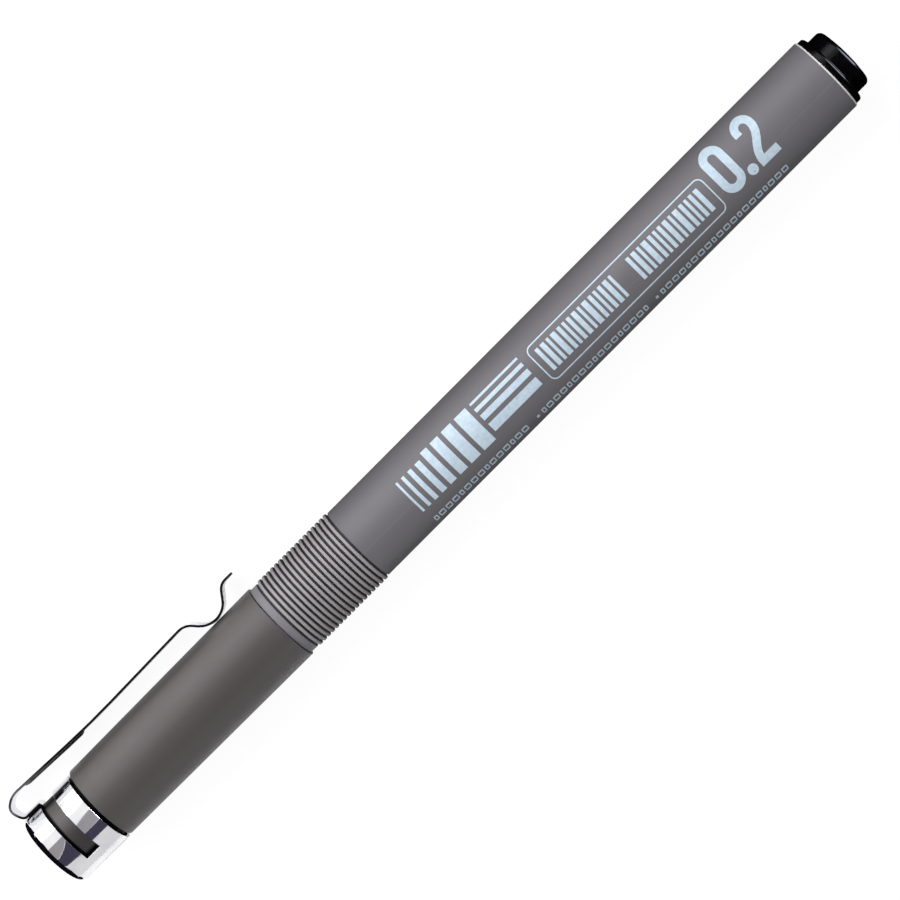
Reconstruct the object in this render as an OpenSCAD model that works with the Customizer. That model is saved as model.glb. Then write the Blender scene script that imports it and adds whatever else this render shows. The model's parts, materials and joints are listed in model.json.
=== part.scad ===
// Capped technical drawing pen with a fibre-core needle point, lying on its side.
// Every piece is modelled upright on the pen's own axis: z = 0 is the rear end face,
// z grows towards the writing point and the closed end of the cap, and the clip stands
// on the +x side. lie_down() then lays the whole pen on the table, rolled onto its clip.

/* [Barrel] */
// Outside diameter of the smooth barrel
barrel_d = 10.4; // [9.6:0.1:10.8]
// Length of the smooth barrel between its rear edge and the grip
barrel_l = 78.4; // [50:0.1:95]
// Wall of the barrel round the ink reservoir
barrel_wall = 0.95; // [0.7:0.05:1.1]
// Chamfer on the barrel's rear edge
barrel_edge = 0.15; // [0.05:0.05:0.25]
// Number of fins inside the barrel that centre the reservoir
fin_n = 4; // [3:1:6]
// Thickness of one fin
fin_t = 0.6; // [0.4:0.1:0.9]
// Length of barrel behind the fins, for the rear plug
fin_start = 9; // [7:0.5:14]

/* [Grip] */
// Number of grooves round the grip
groove_n = 18; // [8:1:26]
// Distance from one groove to the next
groove_pitch = 0.695; // [0.6:0.005:0.9]
// Width of a groove at its mouth
groove_w = 0.4; // [0.25:0.01:0.45]
// Width of a groove at its floor
groove_floor_w = 0.14; // [0.08:0.01:0.2]
// Depth of a groove
groove_depth = 0.36; // [0.1:0.02:0.4]
// How far the ridges stand above the barrel
ridge_rise = 0.16; // [0:0.02:0.2]
// Width of the ridge at each end of the grip
ridge_end_w = 0.4; // [0.2:0.05:1]
// Length of the plain ring between the grip and the cap
ring_l = 1.02; // [0.4:0.02:2]

/* [Cap seat] */
// Diameter of the barrel under the cap
seat_d = 9.1; // [9:0.05:9.2]
// Length of the barrel under the cap
seat_l = 11.95; // [9:0.05:18]
// Length of the lead-in cone at the front of the seat
seat_lead = 0.5; // [0.2:0.1:1]
// Distance of the snap bead from the ring
bead_place = 3; // [2:0.5:6]
// Height of the snap bead above the seat
bead_rise = 0.06; // [0.02:0.01:0.08]
// Bore at the front of the barrel, for the nose
socket_d = 7.4; // [7:0.1:7.6]

/* [Nose] */
// Diameter of the flange that the nose stands on
nose_flange_d = 8.6; // [8:0.1:9]
// Thickness of that flange
nose_flange_t = 0.8; // [0.5:0.1:1.2]
// Diameter of the band that the cap's sleeve closes on
seal_d = 6.4; // [6.2:0.1:6.6]
// Length of that band
seal_l = 1.8; // [1:0.1:2.5]
// Diameter at the foot of the taper
nose_foot_d = 6.2; // [5.9:0.05:6.2]
// Diameter at the top of the taper
nose_top_d = 5.3; // [5.1:0.1:5.6]
// Length of the taper
nose_l = 7.2; // [5:0.1:9]
// Length of the nose's tail inside the barrel
tail_l = 9.7; // [6:0.1:11]
// Wall of the nose's tail
tail_wall = 1; // [0.7:0.1:1.2]

/* [Writing point] */
// Diameter of the collar's foot disc
disc_d = 4.74; // [4.4:0.02:5]
// Thickness of the foot disc
disc_t = 0.4; // [0.2:0.05:0.6]
// Diameter of the collar's shoulder
shoulder_d = 3.14; // [2.6:0.02:3.6]
// Height of the shoulder
shoulder_h = 0.85; // [0.5:0.05:1.2]
// Height of the cone between shoulder and needle
shoulder_cone_h = 0.25; // [0.15:0.05:0.4]
// Diameter of the collar's stem inside the nose
stem_d = 2.6; // [2.4:0.1:2.8]
// Length of the collar's stem
stem_l = 2.2; // [1.5:0.1:3]
// Outside diameter of the needle tube
tube_d = 0.84; // [0.76:0.02:0.9]
// Wall of the needle tube
tube_wall = 0.15; // [0.12:0.01:0.16]
// Length of needle tube that stands out of the collar
tube_out = 4.6; // [3:0.1:6]
// Length of needle tube inside, behind the collar's shoulder
tube_in = 4.4; // [3:0.1:5.5]
// Length of the rolled-in mouth of the needle tube
tube_mouth = 0.35; // [0.2:0.05:0.5]
// Length of nib that stands out of the needle tube
nib_out = 0.95; // [0.6:0.05:1.2]
// Length of nib behind the needle tube, in the feeder
nib_tail = 2.4; // [1:0.1:3]

/* [Ink supply] */
// Diameter of the fibre rod that feeds the nib
feeder_d = 2.2; // [1.8:0.1:2.4]
// Length of the feeder inside the reservoir
feeder_dip = 6; // [3:0.5:12]
// Thickness of the film round the reservoir
film_t = 0.12; // [0.06:0.02:0.2]

/* [Rear plug] */
// Diameter of the plug's end button
button_d = 8.4; // [7.6:0.1:9]
// Length of the button
button_l = 2.25; // [1.5:0.05:3]
// Rounding of the button's edge
button_round = 0.6; // [0.2:0.05:0.9]
// Diameter of the plug's flange
flange_d = 10; // [9.2:0.1:10.2]
// Thickness of the flange
flange_t = 1.1; // [0.6:0.05:1.6]
// Rounding of the flange's edge
flange_round = 0.45; // [0.1:0.05:0.5]
// Length of the plug inside the barrel
plug_l = 4.6; // [3:0.1:5.5]
// Wall of the plug inside the barrel
plug_wall = 0.9; // [0.6:0.1:1.2]
// Thickness of the cross vanes that press on the reservoir
vane_t = 0.8; // [0.5:0.1:1.2]
// How far the vanes stand out of the plug
vane_out = 1.2; // [0.5:0.1:2]

/* [Cap] */
// Outside diameter of the cap at its open rim
cap_rim_d = 10.9; // [10.8:0.05:11.4]
// Outside diameter of the cap at its shoulder
cap_shoulder_d = 10.5; // [10.3:0.05:10.8]
// Chamfer on the cap's rim
rim_edge = 0.12; // [0.05:0.01:0.2]
// Rounding of the cap's shoulder
shoulder_round = 0.25; // [0.1:0.05:0.4]
// Room between the nib and the end of the inner sleeve
tip_room = 2.4; // [1:0.1:3]
// Wall of the inner sleeve
sleeve_wall = 0.75; // [0.5:0.05:0.8]
// Thickness of the inner sleeve's closed end
sleeve_end_t = 0.9; // [0.5:0.1:1.4]
// Depth of the empty space behind the sleeve
cap_void_l = 3.5; // [3:0.1:5]
// Thickness of the cap's closed end
cap_end_t = 2.9; // [2:0.1:4]

/* [End cup] */
// Outside diameter of the metal end cup
cup_d = 10; // [9.9:0.05:10.2]
// Sheet thickness of the cup
cup_t = 0.3; // [0.2:0.02:0.4]
// Length of the cup's straight skirt and rounded edge together
cup_l = 7.9; // [7:0.1:10]
// Height of the cup's crowned end
crown_h = 0.35; // [0.1:0.05:0.6]
// Outside rounding between skirt and end
cup_round = 0.7; // [0.5:0.05:1]
// Dark joint between the cup and the cap's shoulder
cup_joint = 0.4; // [0.1:0.05:0.6]
// Width of the slot in the skirt
slot_w = 2.1; // [1.2:0.05:2.5]
// Distance from the cup's rim to the slot
slot_place = 2.65; // [2.2:0.05:3.4]
// Part of the skirt that bridges the slot behind, in degrees
slot_bridge = 94; // [40:2:180]

/* [Clip] */
// Thickness of the spring strip
clip_t = 0.3; // [0.2:0.02:0.4]
// Width of the strip at its foot and round its bend
clip_foot_w = 3.4; // [2.6:0.1:4]
// Greatest width of the strip
clip_w = 4.4; // [3.6:0.1:5]
// Width of the strip at its free end
clip_tip_w = 3.6; // [2.6:0.1:4.4]
// Bending radius of the strip's bend, on the cup's side
bend_r = 1.5; // [1.3:0.05:1.8]
// How far the bend bulges out past the place where the strip leaves the cup
bend_out = 0.75; // [0.7:0.01:0.9]
// Steepness of the strip where it leaves the cup, in degrees
bend_lean = 47; // [42:1:52]
// Height of the arm's line over the middle of the bend
bend_rise = 1.6; // [1.3:0.02:1.8]
// Steepness of the strip between the bend and the arm, in degrees
eave_lean = 33; // [25:1:40]
// Height of the arm's line over the pen's axis at the bottom of its bow
clip_bow_h = 7.55; // [7.2:0.01:7.8]
// Height of the arm's line where it dips to the cap
clip_brow_h = 7.89; // [7.6:0.01:8.2]
// Height of the strip's centre at its free end
clip_tip_h = 8.26; // [7.6:0.01:8.6]
// Distance from the cap's rim to the place where the clip touches the cap
touch_place = 4.75; // [4.5:0.05:8]
// Steepness of the fall towards the cap, in degrees
fall_angle = 50; // [40:1:54]
// Steepness of the rise towards the free end, in degrees
rise_angle = 53; // [44:1:56]
// Bending radius at the bottom of the dip, as a share of the strip's drop to the cap
dip_share = 1.24; // [0.9:0.02:1.28]
// How far the free end stays behind the cap's rim
tip_back = -0.35; // [-0.5:0.05:1.5]
// Distance from the bend to the bottom of the bow
bow_place = 14.3; // [12:0.1:18]
// Bending radius of the bow
bow_round = 120; // [60:5:150]
// Width of the stiffening bead pressed into the strip
bead_w = 1.7; // [1:0.1:2.2]
// Depth of that bead under the strip
bead_depth = 0.28; // [0.1:0.02:0.4]
// Plain strip between the bend and the bead
bead_gap = 0.2; // [0.1:0.05:2]
// Plain strip between the bead and the bottom of the bow
bead_end_gap = 1.1; // [0.2:0.1:4]

/* [Fits] */
// Radial gap between pieces that are pressed together
press_gap = 0.02; // [0.01:0.005:0.03]
// Radial gap of the inner sleeve in the cap
turn_gap = 0.05; // [0.02:0.01:0.08]
// Radial gap between the barrel's seat and the cap
slide_gap = 0.1; // [0.09:0.01:0.15]
// Gap between end faces that rest against each other
face_gap = 0.05; // [0.02:0.01:0.1]
// Gap between the clip and the cap that it touches
touch_gap = 0.08; // [0.04:0.01:0.15]

/* [Hidden] */
$fn = 96;

plastic_grey = [0.44, 0.43, 0.45];
cap_grey = [0.40, 0.39, 0.40];
plastic_black = [0.05, 0.05, 0.06];
chrome = [0.82, 0.83, 0.86];
steel = [0.74, 0.72, 0.70];
natural_plastic = [0.86, 0.86, 0.84];
ink_black = [0.10, 0.10, 0.13];

// Stations along the axis, from the rear end to the closed end of the cap.
z_flange = button_l;
z_barrel = z_flange + flange_t;
z_grip = z_barrel + barrel_l;
first_groove = ridge_end_w + groove_w / 2;
grip_l = 2 * first_groove + (groove_n - 1) * groove_pitch;
z_ring = z_grip + grip_l;
z_seat = z_ring + ring_l;
z_front = z_seat + seat_l;
z_seal = z_front + nose_flange_t;
z_taper = z_seal + seal_l;
z_disc = z_taper + nose_l;
z_shoulder = z_disc + disc_t;
z_needle = z_shoulder + shoulder_h + shoulder_cone_h;
z_tube_mouth = z_needle + tube_out;
z_nib_point = z_tube_mouth + nib_out;
z_cap_rim = z_seat + face_gap;
z_sleeve_end = z_nib_point + tip_room + sleeve_end_t;
z_cap_void = z_sleeve_end + face_gap + cap_void_l;
z_cap_end = z_cap_void + cap_end_t;
z_cup_inside = z_cap_end + face_gap;
z_cup_edge = z_cup_inside + cup_t;
pen_l = z_cup_edge + crown_h;
z_cup_rim = z_cup_edge - cup_l;
z_cap_shoulder = z_cup_rim - cup_joint;
z_slot = z_cup_rim + slot_place;
z_slot_end = z_slot + slot_w;

// Radii that follow from the fits.
barrel_r = barrel_d / 2;
bore_r = barrel_r - barrel_wall;
ridge_r = barrel_r + ridge_rise;
ridge_slope = ridge_end_w / 4;
seat_r = seat_d / 2;
socket_r = socket_d / 2;
tail_r = socket_r - press_gap;
tail_bore_r = tail_r - tail_wall;
fin_reach = socket_r + 0.2;
film_r = fin_reach - turn_gap;
fibre_r = film_r - film_t - press_gap;
feeder_r = feeder_d / 2;
feeder_hole_r = feeder_r + press_gap;
tube_r = tube_d / 2;
tube_bore_r = tube_r - tube_wall;
tube_hole_r = tube_r + press_gap;
nib_r = tube_bore_r - press_gap;
stem_r = stem_d / 2;
stem_hole_r = stem_r + press_gap;
plug_r = bore_r - press_gap;
cap_bore_r = seat_r + slide_gap;
sleeve_bore_r = seal_d / 2 + turn_gap;
sleeve_r = sleeve_bore_r + sleeve_wall;
pocket_r = sleeve_r + turn_gap;
cup_r = cup_d / 2;
stub_r = cup_r - cup_t - press_gap;

// Depths that follow from the stations.
z_tail = z_front - tail_l;
z_socket = z_tail - face_gap;
z_fins = z_barrel + fin_start;
z_plug_front = z_barrel + plug_l;
z_fibre_rear = z_plug_front + vane_out + face_gap;
z_fibre_front = z_socket - face_gap;
z_feeder_rear = z_fibre_front - feeder_dip;
z_stem = z_disc - stem_l;
z_tube_rear = z_needle - tube_in;
z_nib_rear = z_tube_rear - nib_tail;
z_feeder_front = z_tube_rear - face_gap;

// The clip's bend and contact.
clip_half_t = clip_t / 2;
foot_h = cup_r + press_gap + clip_half_t;
z_bend = z_cup_edge - clip_half_t - face_gap;
z_leave = z_bend - bend_out;
lean_h = foot_h + bend_out * tan(bend_lean);
bend_mid_h = lean_h + bend_r * tan((90 - bend_lean) / 2);

// The arm: eave after the bend, bow, dip onto the cap, lifted tip.
clip_bend_h = bend_mid_h + bend_rise;
arm_lean = atan((clip_bend_h - clip_bow_h) / bow_place);
upper_r = bend_rise * 0.65;
eave_r = bend_rise * 1.9;
eave_h = bend_mid_h + 1.05 * upper_r * tan((90 - eave_lean) / 2);
eave_back = (clip_bend_h - eave_h) / (tan(eave_lean) + tan(arm_lean));
eave_run = eave_r * tan((eave_lean + arm_lean) / 2);
arm_start = eave_back / cos(arm_lean) + eave_run;
z_bow = z_bend - bow_place;
z_touch = z_cap_rim + touch_place;
touch_h = cap_outer_r(z_touch) + touch_gap + clip_half_t;
dip_round = dip_share * (min(clip_brow_h, clip_tip_h) - touch_h);
dip_centre_h = dip_round * cos((rise_angle - fall_angle) / 2) / cos((rise_angle + fall_angle) / 2);
dip_knot_h = touch_h - dip_centre_h + dip_round;
z_dip = z_touch - (dip_centre_h * cos(fall_angle) - dip_round) / sin(fall_angle);
z_brow = z_dip + (clip_brow_h - dip_knot_h) / tan(fall_angle);
z_lift = z_dip - (clip_tip_h - dip_knot_h) / tan(rise_angle);
z_tip = z_cap_rim + tip_back;
brow_round = 1;
lift_round = 1.6;
foot_angle = 2 * asin(clip_foot_w / 2 / (cup_r + clip_t));
tongue_l = 1.3;

// The bead pressed into the arm between its eave and its bow.
bead_r = bead_w / 2;
bead_lift = bead_r - bead_depth - clip_half_t;
bead_start = arm_start + bead_gap;
bead_l = bow_place / cos(arm_lean) - bead_end_gap - bead_start - bead_w;

// The pen lies on its cap's rim and on the edge of the clip, where the eave is highest.
axis_h = cap_rim_d / 2;
eave_top_h = clip_bend_h - arm_start * sin(arm_lean) + eave_r * (1 - cos(arm_lean));
rest_h = eave_top_h + clip_half_t;
rest_w = clip_w / 2;
roll = asin(axis_h / norm([rest_h, rest_w])) - atan(rest_w / rest_h);
clip_side_y = rest_h * cos(roll) + rest_w * sin(roll);
centre_y = (clip_side_y - axis_h) / 2;

module lie_down()
    translate([-pen_l / 2, centre_y, axis_h])
        rotate([roll - 90, 0, 0])
            rotate([0, 90, 0])
                children();

// Radius of the cap's tapered outside at a station.
function cap_outer_r(z) =
    let (share = (z - z_cap_rim - rim_edge) / (z_cap_shoulder - z_cap_rim - rim_edge))
        (cap_rim_d + (cap_shoulder_d - cap_rim_d) * share) / 2;

// Points of an arc round a centre, from one angle to another.
function arc(centre, r, from, to, n = 8) =
    [for (i = [0:n]) let (a = from + (to - from) * i / n) centre + r * [cos(a), sin(a)]];

function unit(v) = v / norm(v);
function turned(v, a) = [v.x * cos(a) - v.y * sin(a), v.x * sin(a) + v.y * cos(a)];

// The arc that rounds the corner at q, on the way from p to s.
function corner(p, q, s, r, n) =
    let (
        a = unit(p - q),
        b = unit(s - q),
        half = acos(a * b) / 2,
        centre = q + unit(a + b) * r / sin(half),
        start = q + a * r / tan(half) - centre,
        turn = (180 - 2 * half) * sign(cross(b, a))
    )
        [for (i = [0:n]) centre + turned(start, turn * i / n)];

// A path through knots [x, y, bending radius], with each inner corner rounded.
function rounded(knots, n = 12) =
    let (
        last = len(knots) - 1,
        at = [for (k = knots) [k.x, k.y]]
    )
        without_repeats(concat(
            [at[0]],
            [for (i = [1:last - 1]) each corner(at[i - 1], at[i], at[i + 1], knots[i].z, n)],
            [at[last]]
        ));

function without_repeats(path) =
    [for (i = [0:len(path) - 1]) if (i == 0 || norm(path[i] - path[max(i - 1, 0)]) > 0.001) path[i]];

// The outline of a strip of thickness t along a path.
function strip_outline(path, t) =
    let (
        last = len(path) - 1,
        side = [for (i = [0:last])
            let (d = unit(path[min(i + 1, last)] - path[max(i - 1, 0)])) [-d.y, d.x] * t / 2]
    )
        concat(
            [for (i = [0:last]) path[i] + side[i]],
            [for (i = [last:-1:0]) path[i] - side[i]]
        );

// Takes a drawing of [z, height] to a slab of width w across the pen.
module across(w)
    rotate([0, -90, -90])
        linear_extrude(w, center = true)
            children();

// Takes a drawing of [z, sideways] to a block of height h over the pen's axis.
module above(h)
    rotate([0, -90, 0])
        translate([0, 0, -h])
            linear_extrude(h)
                children();

module turned_solid(points)
    rotate_extrude()
        polygon(points);

// One groove of the grip, as outline points towards the front.
function groove(z) = [
    [ridge_r, z - groove_w / 2],
    [ridge_r - groove_depth, z - groove_floor_w / 2],
    [ridge_r - groove_depth, z + groove_floor_w / 2],
    [ridge_r, z + groove_w / 2]
];

// Moulded barrel: printed tube, ridged grip, ring and cap seat in one.
module barrel()
    color(plastic_grey)
        lie_down() {
            bead_z = z_seat + bead_place;
            fin_l = (bore_r + seat_r) / 2 - fin_reach;
            turned_solid(concat(
                [[bore_r, z_barrel], [barrel_r - barrel_edge, z_barrel],
                 [barrel_r, z_barrel + barrel_edge], [barrel_r, z_grip]],
                [[ridge_r, z_grip + ridge_slope]],
                [for (i = [0:groove_n - 1]) each groove(z_grip + first_groove + i * groove_pitch)],
                [[ridge_r, z_ring - ridge_slope], [barrel_r, z_ring], [barrel_r, z_seat], [seat_r, z_seat],
                 [seat_r, bead_z - 0.5], [seat_r + bead_rise, bead_z - 0.15],
                 [seat_r + bead_rise, bead_z + 0.15], [seat_r, bead_z + 0.5],
                 [seat_r, z_front - seat_lead], [seat_r - seat_lead / 2, z_front],
                 [socket_r, z_front], [socket_r, z_socket], [bore_r, z_socket]]
            ));
            for (i = [0:fin_n - 1])
                rotate([0, 0, i * 360 / fin_n])
                    translate([fin_reach, -fin_t / 2, z_fins])
                        cube([fin_l, fin_t, z_socket - z_fins + barrel_wall]);
        }

// Nose: flange, seal band and taper, with a tail pressed into the barrel.
module nose_section()
    color(plastic_grey)
        lie_down()
            difference() {
                turned_solid(concat(
                    [[0, z_tail], [tail_r, z_tail], [tail_r, z_front + face_gap],
                     [nose_flange_d / 2, z_front + face_gap]],
                    arc([nose_flange_d / 2 - 0.5, z_seal - 0.5], 0.5, 0, 80, 5),
                    [[seal_d / 2 + 0.2, z_seal + 0.06], [seal_d / 2, z_seal + 0.2],
                     [seal_d / 2, z_taper - 0.1], [nose_foot_d / 2, z_taper]],
                    arc([nose_top_d / 2 - 0.3, z_disc - 0.3], 0.3, 0, 90, 5),
                    [[0, z_disc]]
                ));
                translate([0, 0, z_tail - 1])
                    cylinder(h = tail_l, r = tail_bore_r);
                translate([0, 0, z_tail])
                    cylinder(h = z_disc - z_tail + 1, r = feeder_hole_r);
                translate([0, 0, z_stem - face_gap])
                    cylinder(h = stem_l + 1, r = stem_hole_r);
            }

// Turned metal collar: foot disc, shoulder and stem, bored for the needle tube.
module tip_collar()
    color(steel)
        lie_down()
            turned_solid(concat(
                [[tube_hole_r, z_stem], [stem_r, z_stem], [stem_r, z_disc + press_gap],
                 [disc_d / 2, z_disc + press_gap]],
                arc([disc_d / 2 - 0.1, z_shoulder - 0.1], 0.1, 0, 90, 3),
                arc([shoulder_d / 2 - 0.12, z_needle - shoulder_cone_h - 0.12], 0.12, 0, 60, 3),
                [[tube_r + 0.12, z_needle - 0.04], [tube_hole_r, z_needle]]
            ));

// Needle tube, rolled in at the mouth round the nib.
module needle_tube()
    color(steel)
        lie_down()
            turned_solid([
                [tube_bore_r, z_tube_rear], [tube_r, z_tube_rear],
                [tube_r, z_tube_mouth - tube_mouth],
                [tube_r - tube_wall * 0.3, z_tube_mouth - tube_mouth * 0.35],
                [tube_bore_r + tube_wall * 0.3, z_tube_mouth], [tube_bore_r, z_tube_mouth]
            ]);

// Nib: one thin extruded core with a rounded point.
module nib()
    color(ink_black)
        lie_down()
            turned_solid(concat(
                [[0, z_nib_rear], [nib_r, z_nib_rear]],
                arc([0, z_nib_point - nib_r], nib_r, 0, 90, 8)
            ));

// Fibre rod that takes ink from the reservoir to the nib.
module ink_feeder()
    color(ink_black)
        lie_down()
            difference() {
                translate([0, 0, z_feeder_rear])
                    cylinder(h = z_feeder_front - z_feeder_rear, r = feeder_r);
                translate([0, 0, z_nib_rear - face_gap])
                    cylinder(h = z_feeder_front - z_nib_rear + 1, r = nib_r + press_gap);
            }

module reservoir_fibre()
    color(ink_black)
        lie_down()
            difference() {
                translate([0, 0, z_fibre_rear])
                    cylinder(h = z_fibre_front - z_fibre_rear, r = fibre_r);
                translate([0, 0, z_feeder_rear - face_gap])
                    cylinder(h = feeder_dip + 1, r = feeder_hole_r);
            }

module reservoir_film()
    color(natural_plastic)
        lie_down()
            turned_solid([
                [film_r - film_t, z_fibre_rear], [film_r, z_fibre_rear],
                [film_r, z_fibre_front], [film_r - film_t, z_fibre_front]
            ]);

// Rear plug: end button and flange outside, hollow plug and cross vanes inside.
module rear_plug()
    color(plastic_black)
        lie_down() {
            flange_r = flange_d / 2;
            button_r = button_d / 2;
            hollow_r = plug_r - plug_wall;
            turned_solid(concat(
                [[0, 0]],
                arc([button_r - button_round, button_round], button_round, -90, 0, 8),
                [[button_r, z_flange - 0.1], [button_r + 0.1, z_flange]],
                arc([flange_r - flange_round, z_flange + flange_round], flange_round, -90, 0, 6),
                [[flange_r, z_barrel - face_gap], [plug_r, z_barrel - face_gap],
                 [plug_r, z_plug_front - 0.4], [plug_r - 0.2, z_plug_front],
                 [hollow_r, z_plug_front], [hollow_r, z_flange], [0, z_flange]]
            ));
            for (a = [0, 90])
                rotate([0, 0, a])
                    translate([-hollow_r - plug_wall / 2, -vane_t / 2, z_flange - flange_t / 2])
                        cube([2 * hollow_r + plug_wall, vane_t, z_plug_front + vane_out - z_flange + flange_t / 2]);
        }

// Soft sleeve inside the cap that closes on the nose's seal band.
module inner_sleeve()
    color(natural_plastic)
        lie_down()
            turned_solid([
                [sleeve_bore_r, z_seal + 0.3], [sleeve_r - 0.15, z_seal + 0.3],
                [sleeve_r, z_seal + 0.5], [sleeve_r, z_sleeve_end - 0.5],
                [sleeve_r - 0.5, z_sleeve_end], [0, z_sleeve_end],
                [0, z_sleeve_end - sleeve_end_t], [sleeve_bore_r - 0.4, z_sleeve_end - sleeve_end_t],
                [sleeve_bore_r, z_sleeve_end - sleeve_end_t - 0.6]
            ]);

// Cap: tapered shell, bore for the barrel's seat, pocket for the sleeve, stub for the cup.
module cap_shell()
    color(cap_grey)
        lie_down()
            difference() {
                turned_solid(concat(
                    [[cap_bore_r, z_cap_rim], [cap_rim_d / 2 - rim_edge, z_cap_rim],
                     [cap_rim_d / 2, z_cap_rim + rim_edge]],
                    arc([cap_shoulder_d / 2 - shoulder_round, z_cap_shoulder - shoulder_round],
                        shoulder_round, 0, 90, 6),
                    [[stub_r, z_cap_shoulder]],
                    arc([stub_r - cup_round, z_cap_end - cup_round], cup_round, 0, 90, 6),
                    [[0, z_cap_end], [0, z_cap_void], [pocket_r - 1, z_cap_void],
                     [pocket_r - 1, z_sleeve_end + face_gap], [pocket_r, z_sleeve_end + face_gap],
                     [pocket_r, z_seal], [cap_bore_r, z_seal - 0.6]]
                ));
                clip_pocket();
            }

// Recess in the cap's stub for the tongue of the clip.
module clip_pocket() {
    pocket_floor_r = cup_r - 2 * cup_t - 3 * press_gap - face_gap;
    pocket_angle = foot_angle + 4;
    rotate([0, 0, -pocket_angle / 2])
        rotate_extrude(angle = pocket_angle)
            translate([pocket_floor_r, z_slot_end - clip_t - 2 * face_gap])
                square([stub_r, tongue_l + clip_t + 3 * face_gap]);
}

// Drawn sheet-metal cup over the end of the cap, slotted round most of its skirt.
module end_cup()
    color(chrome)
        lie_down()
            difference() {
                turned_solid(concat(
                    [[cup_r - cup_t, z_cup_rim], [cup_r, z_cup_rim]],
                    arc([cup_r - cup_round, z_cup_edge - cup_round], cup_round, 0, 70, 6),
                    crown(z_cup_edge, cup_r - cup_round),
                    [[0, z_cup_inside]],
                    arc([cup_r - cup_round, z_cup_edge - cup_round], cup_round - cup_t, 90, 0, 6)
                ));
                rotate([0, 0, slot_bridge / 2 - 180])
                    rotate_extrude(angle = 360 - slot_bridge)
                        translate([cup_r - cup_t - 0.5, z_slot])
                            square([cup_t + 1, slot_w]);
            }

// The crowned end as an arc of points from radius r at station z up to the axis.
function crown(z, r) =
    let (
        crown_r = (r * r + crown_h * crown_h) / (2 * crown_h),
        spread = asin(r / crown_r)
    )
        [for (i = [0:6]) let (a = spread * (1 - i / 6)) [crown_r * sin(a), z + crown_h - crown_r * (1 - cos(a))]];

// Fixed end of the clip: tongue under the cup, hook through the slot, first half of the bend.
module clip_foot()
    color(chrome)
        lie_down() {
            out_r = cup_r + press_gap;
            tongue_r = cup_r - cup_t - press_gap - clip_t;
            z_hook = z_slot_end - press_gap - clip_t;
            rotate([0, 0, -foot_angle / 2])
                rotate_extrude(angle = foot_angle)
                    polygon([
                        [tongue_r, z_hook], [out_r + clip_t, z_hook],
                        [out_r + clip_t, z_leave - 0.5], [out_r, z_leave - 0.5],
                        [out_r, z_hook + clip_t], [tongue_r + clip_t, z_hook + clip_t],
                        [tongue_r + clip_t, z_hook + clip_t + tongue_l],
                        [tongue_r, z_hook + clip_t + tongue_l]
                    ]);
            across(clip_foot_w)
                polygon(strip_outline(rounded([
                    [z_hook + clip_t, foot_h, 0], [z_leave, foot_h, 0.6],
                    [z_bend, lean_h, bend_r], [z_bend, bend_mid_h, 0]
                ]), clip_t));
        }

// Outline of the arm seen from above: narrow at the bend, widest after it, rounded at the tip.
module arm_plan() {
    end_r = clip_tip_w / 2;
    polygon(concat(
        [[z_bend + clip_t, -clip_foot_w / 2], [z_bend + clip_t, clip_foot_w / 2],
         [z_bend - eave_back, rest_w], [z_bow, rest_w]],
        [for (p = arc([0, 0], 1, 90, 270, 12)) [z_tip + end_r + end_r * p.x, end_r * p.y]],
        [[z_bow, -rest_w], [z_bend - eave_back, -rest_w]]
    ));
}

// Puts things on the arm's centre plane: z runs from bend to bow, -x points away from the pen.
module on_arm()
    translate([clip_bend_h, 0, z_bend])
        rotate([0, 180 + arm_lean, 0])
            children();

// Round bar over the arm, whose underside is the pressed bead.
module bead_bar(r)
    on_arm()
        translate([-bead_lift, 0, bead_start + bead_r]) {
            sphere(r = r);
            cylinder(h = bead_l, r = r);
            translate([0, 0, bead_l])
                sphere(r = r);
        }

module pressed_bead()
    difference() {
        intersection() {
            bead_bar(bead_r);
            on_arm()
                translate([0, -bead_r, bead_start])
                    cube([bead_r, bead_w, bow_place]);
        }
        bead_bar(bead_r - clip_t);
    }

// Spring arm of the clip: second half of the bend, bowed arm, dip onto the cap, lifted tip.
module clip_arm()
    color(chrome)
        lie_down()
            intersection() {
                union() {
                    difference() {
                        across(2 * clip_w)
                            polygon(strip_outline(rounded([
                                [z_bend, bend_mid_h + press_gap, 0],
                                [z_bend, eave_h, upper_r],
                                [z_bend - eave_back, clip_bend_h - eave_back * tan(arm_lean), eave_r],
                                [z_bow, clip_bow_h, bow_round], [z_brow, clip_brow_h, brow_round],
                                [z_dip, dip_knot_h, dip_round], [z_lift, clip_tip_h, lift_round],
                                [z_tip, clip_tip_h, 0]
                            ]), clip_t));
                        bead_bar(bead_r - clip_t);
                    }
                    pressed_bead();
                }
                above(max(clip_bend_h, clip_brow_h, clip_tip_h) + clip_t)
                    arm_plan();
            }

barrel();
nose_section();
tip_collar();
needle_tube();
nib();
ink_feeder();
reservoir_fibre();
reservoir_film();
rear_plug();
inner_sleeve();
cap_shell();
end_cup();
clip_foot();
clip_arm();
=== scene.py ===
"""Looks of a capped technical drawing pen, lying on its side on a white table.

Sizes are in millimetres along the pen's own axes, as in the part's source: x points to the clip,
y across, and z from the rear end to the closed end of the cap.
"""
import json
import math

import bpy
import numpy as np
from mathutils import Matrix, Vector


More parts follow.
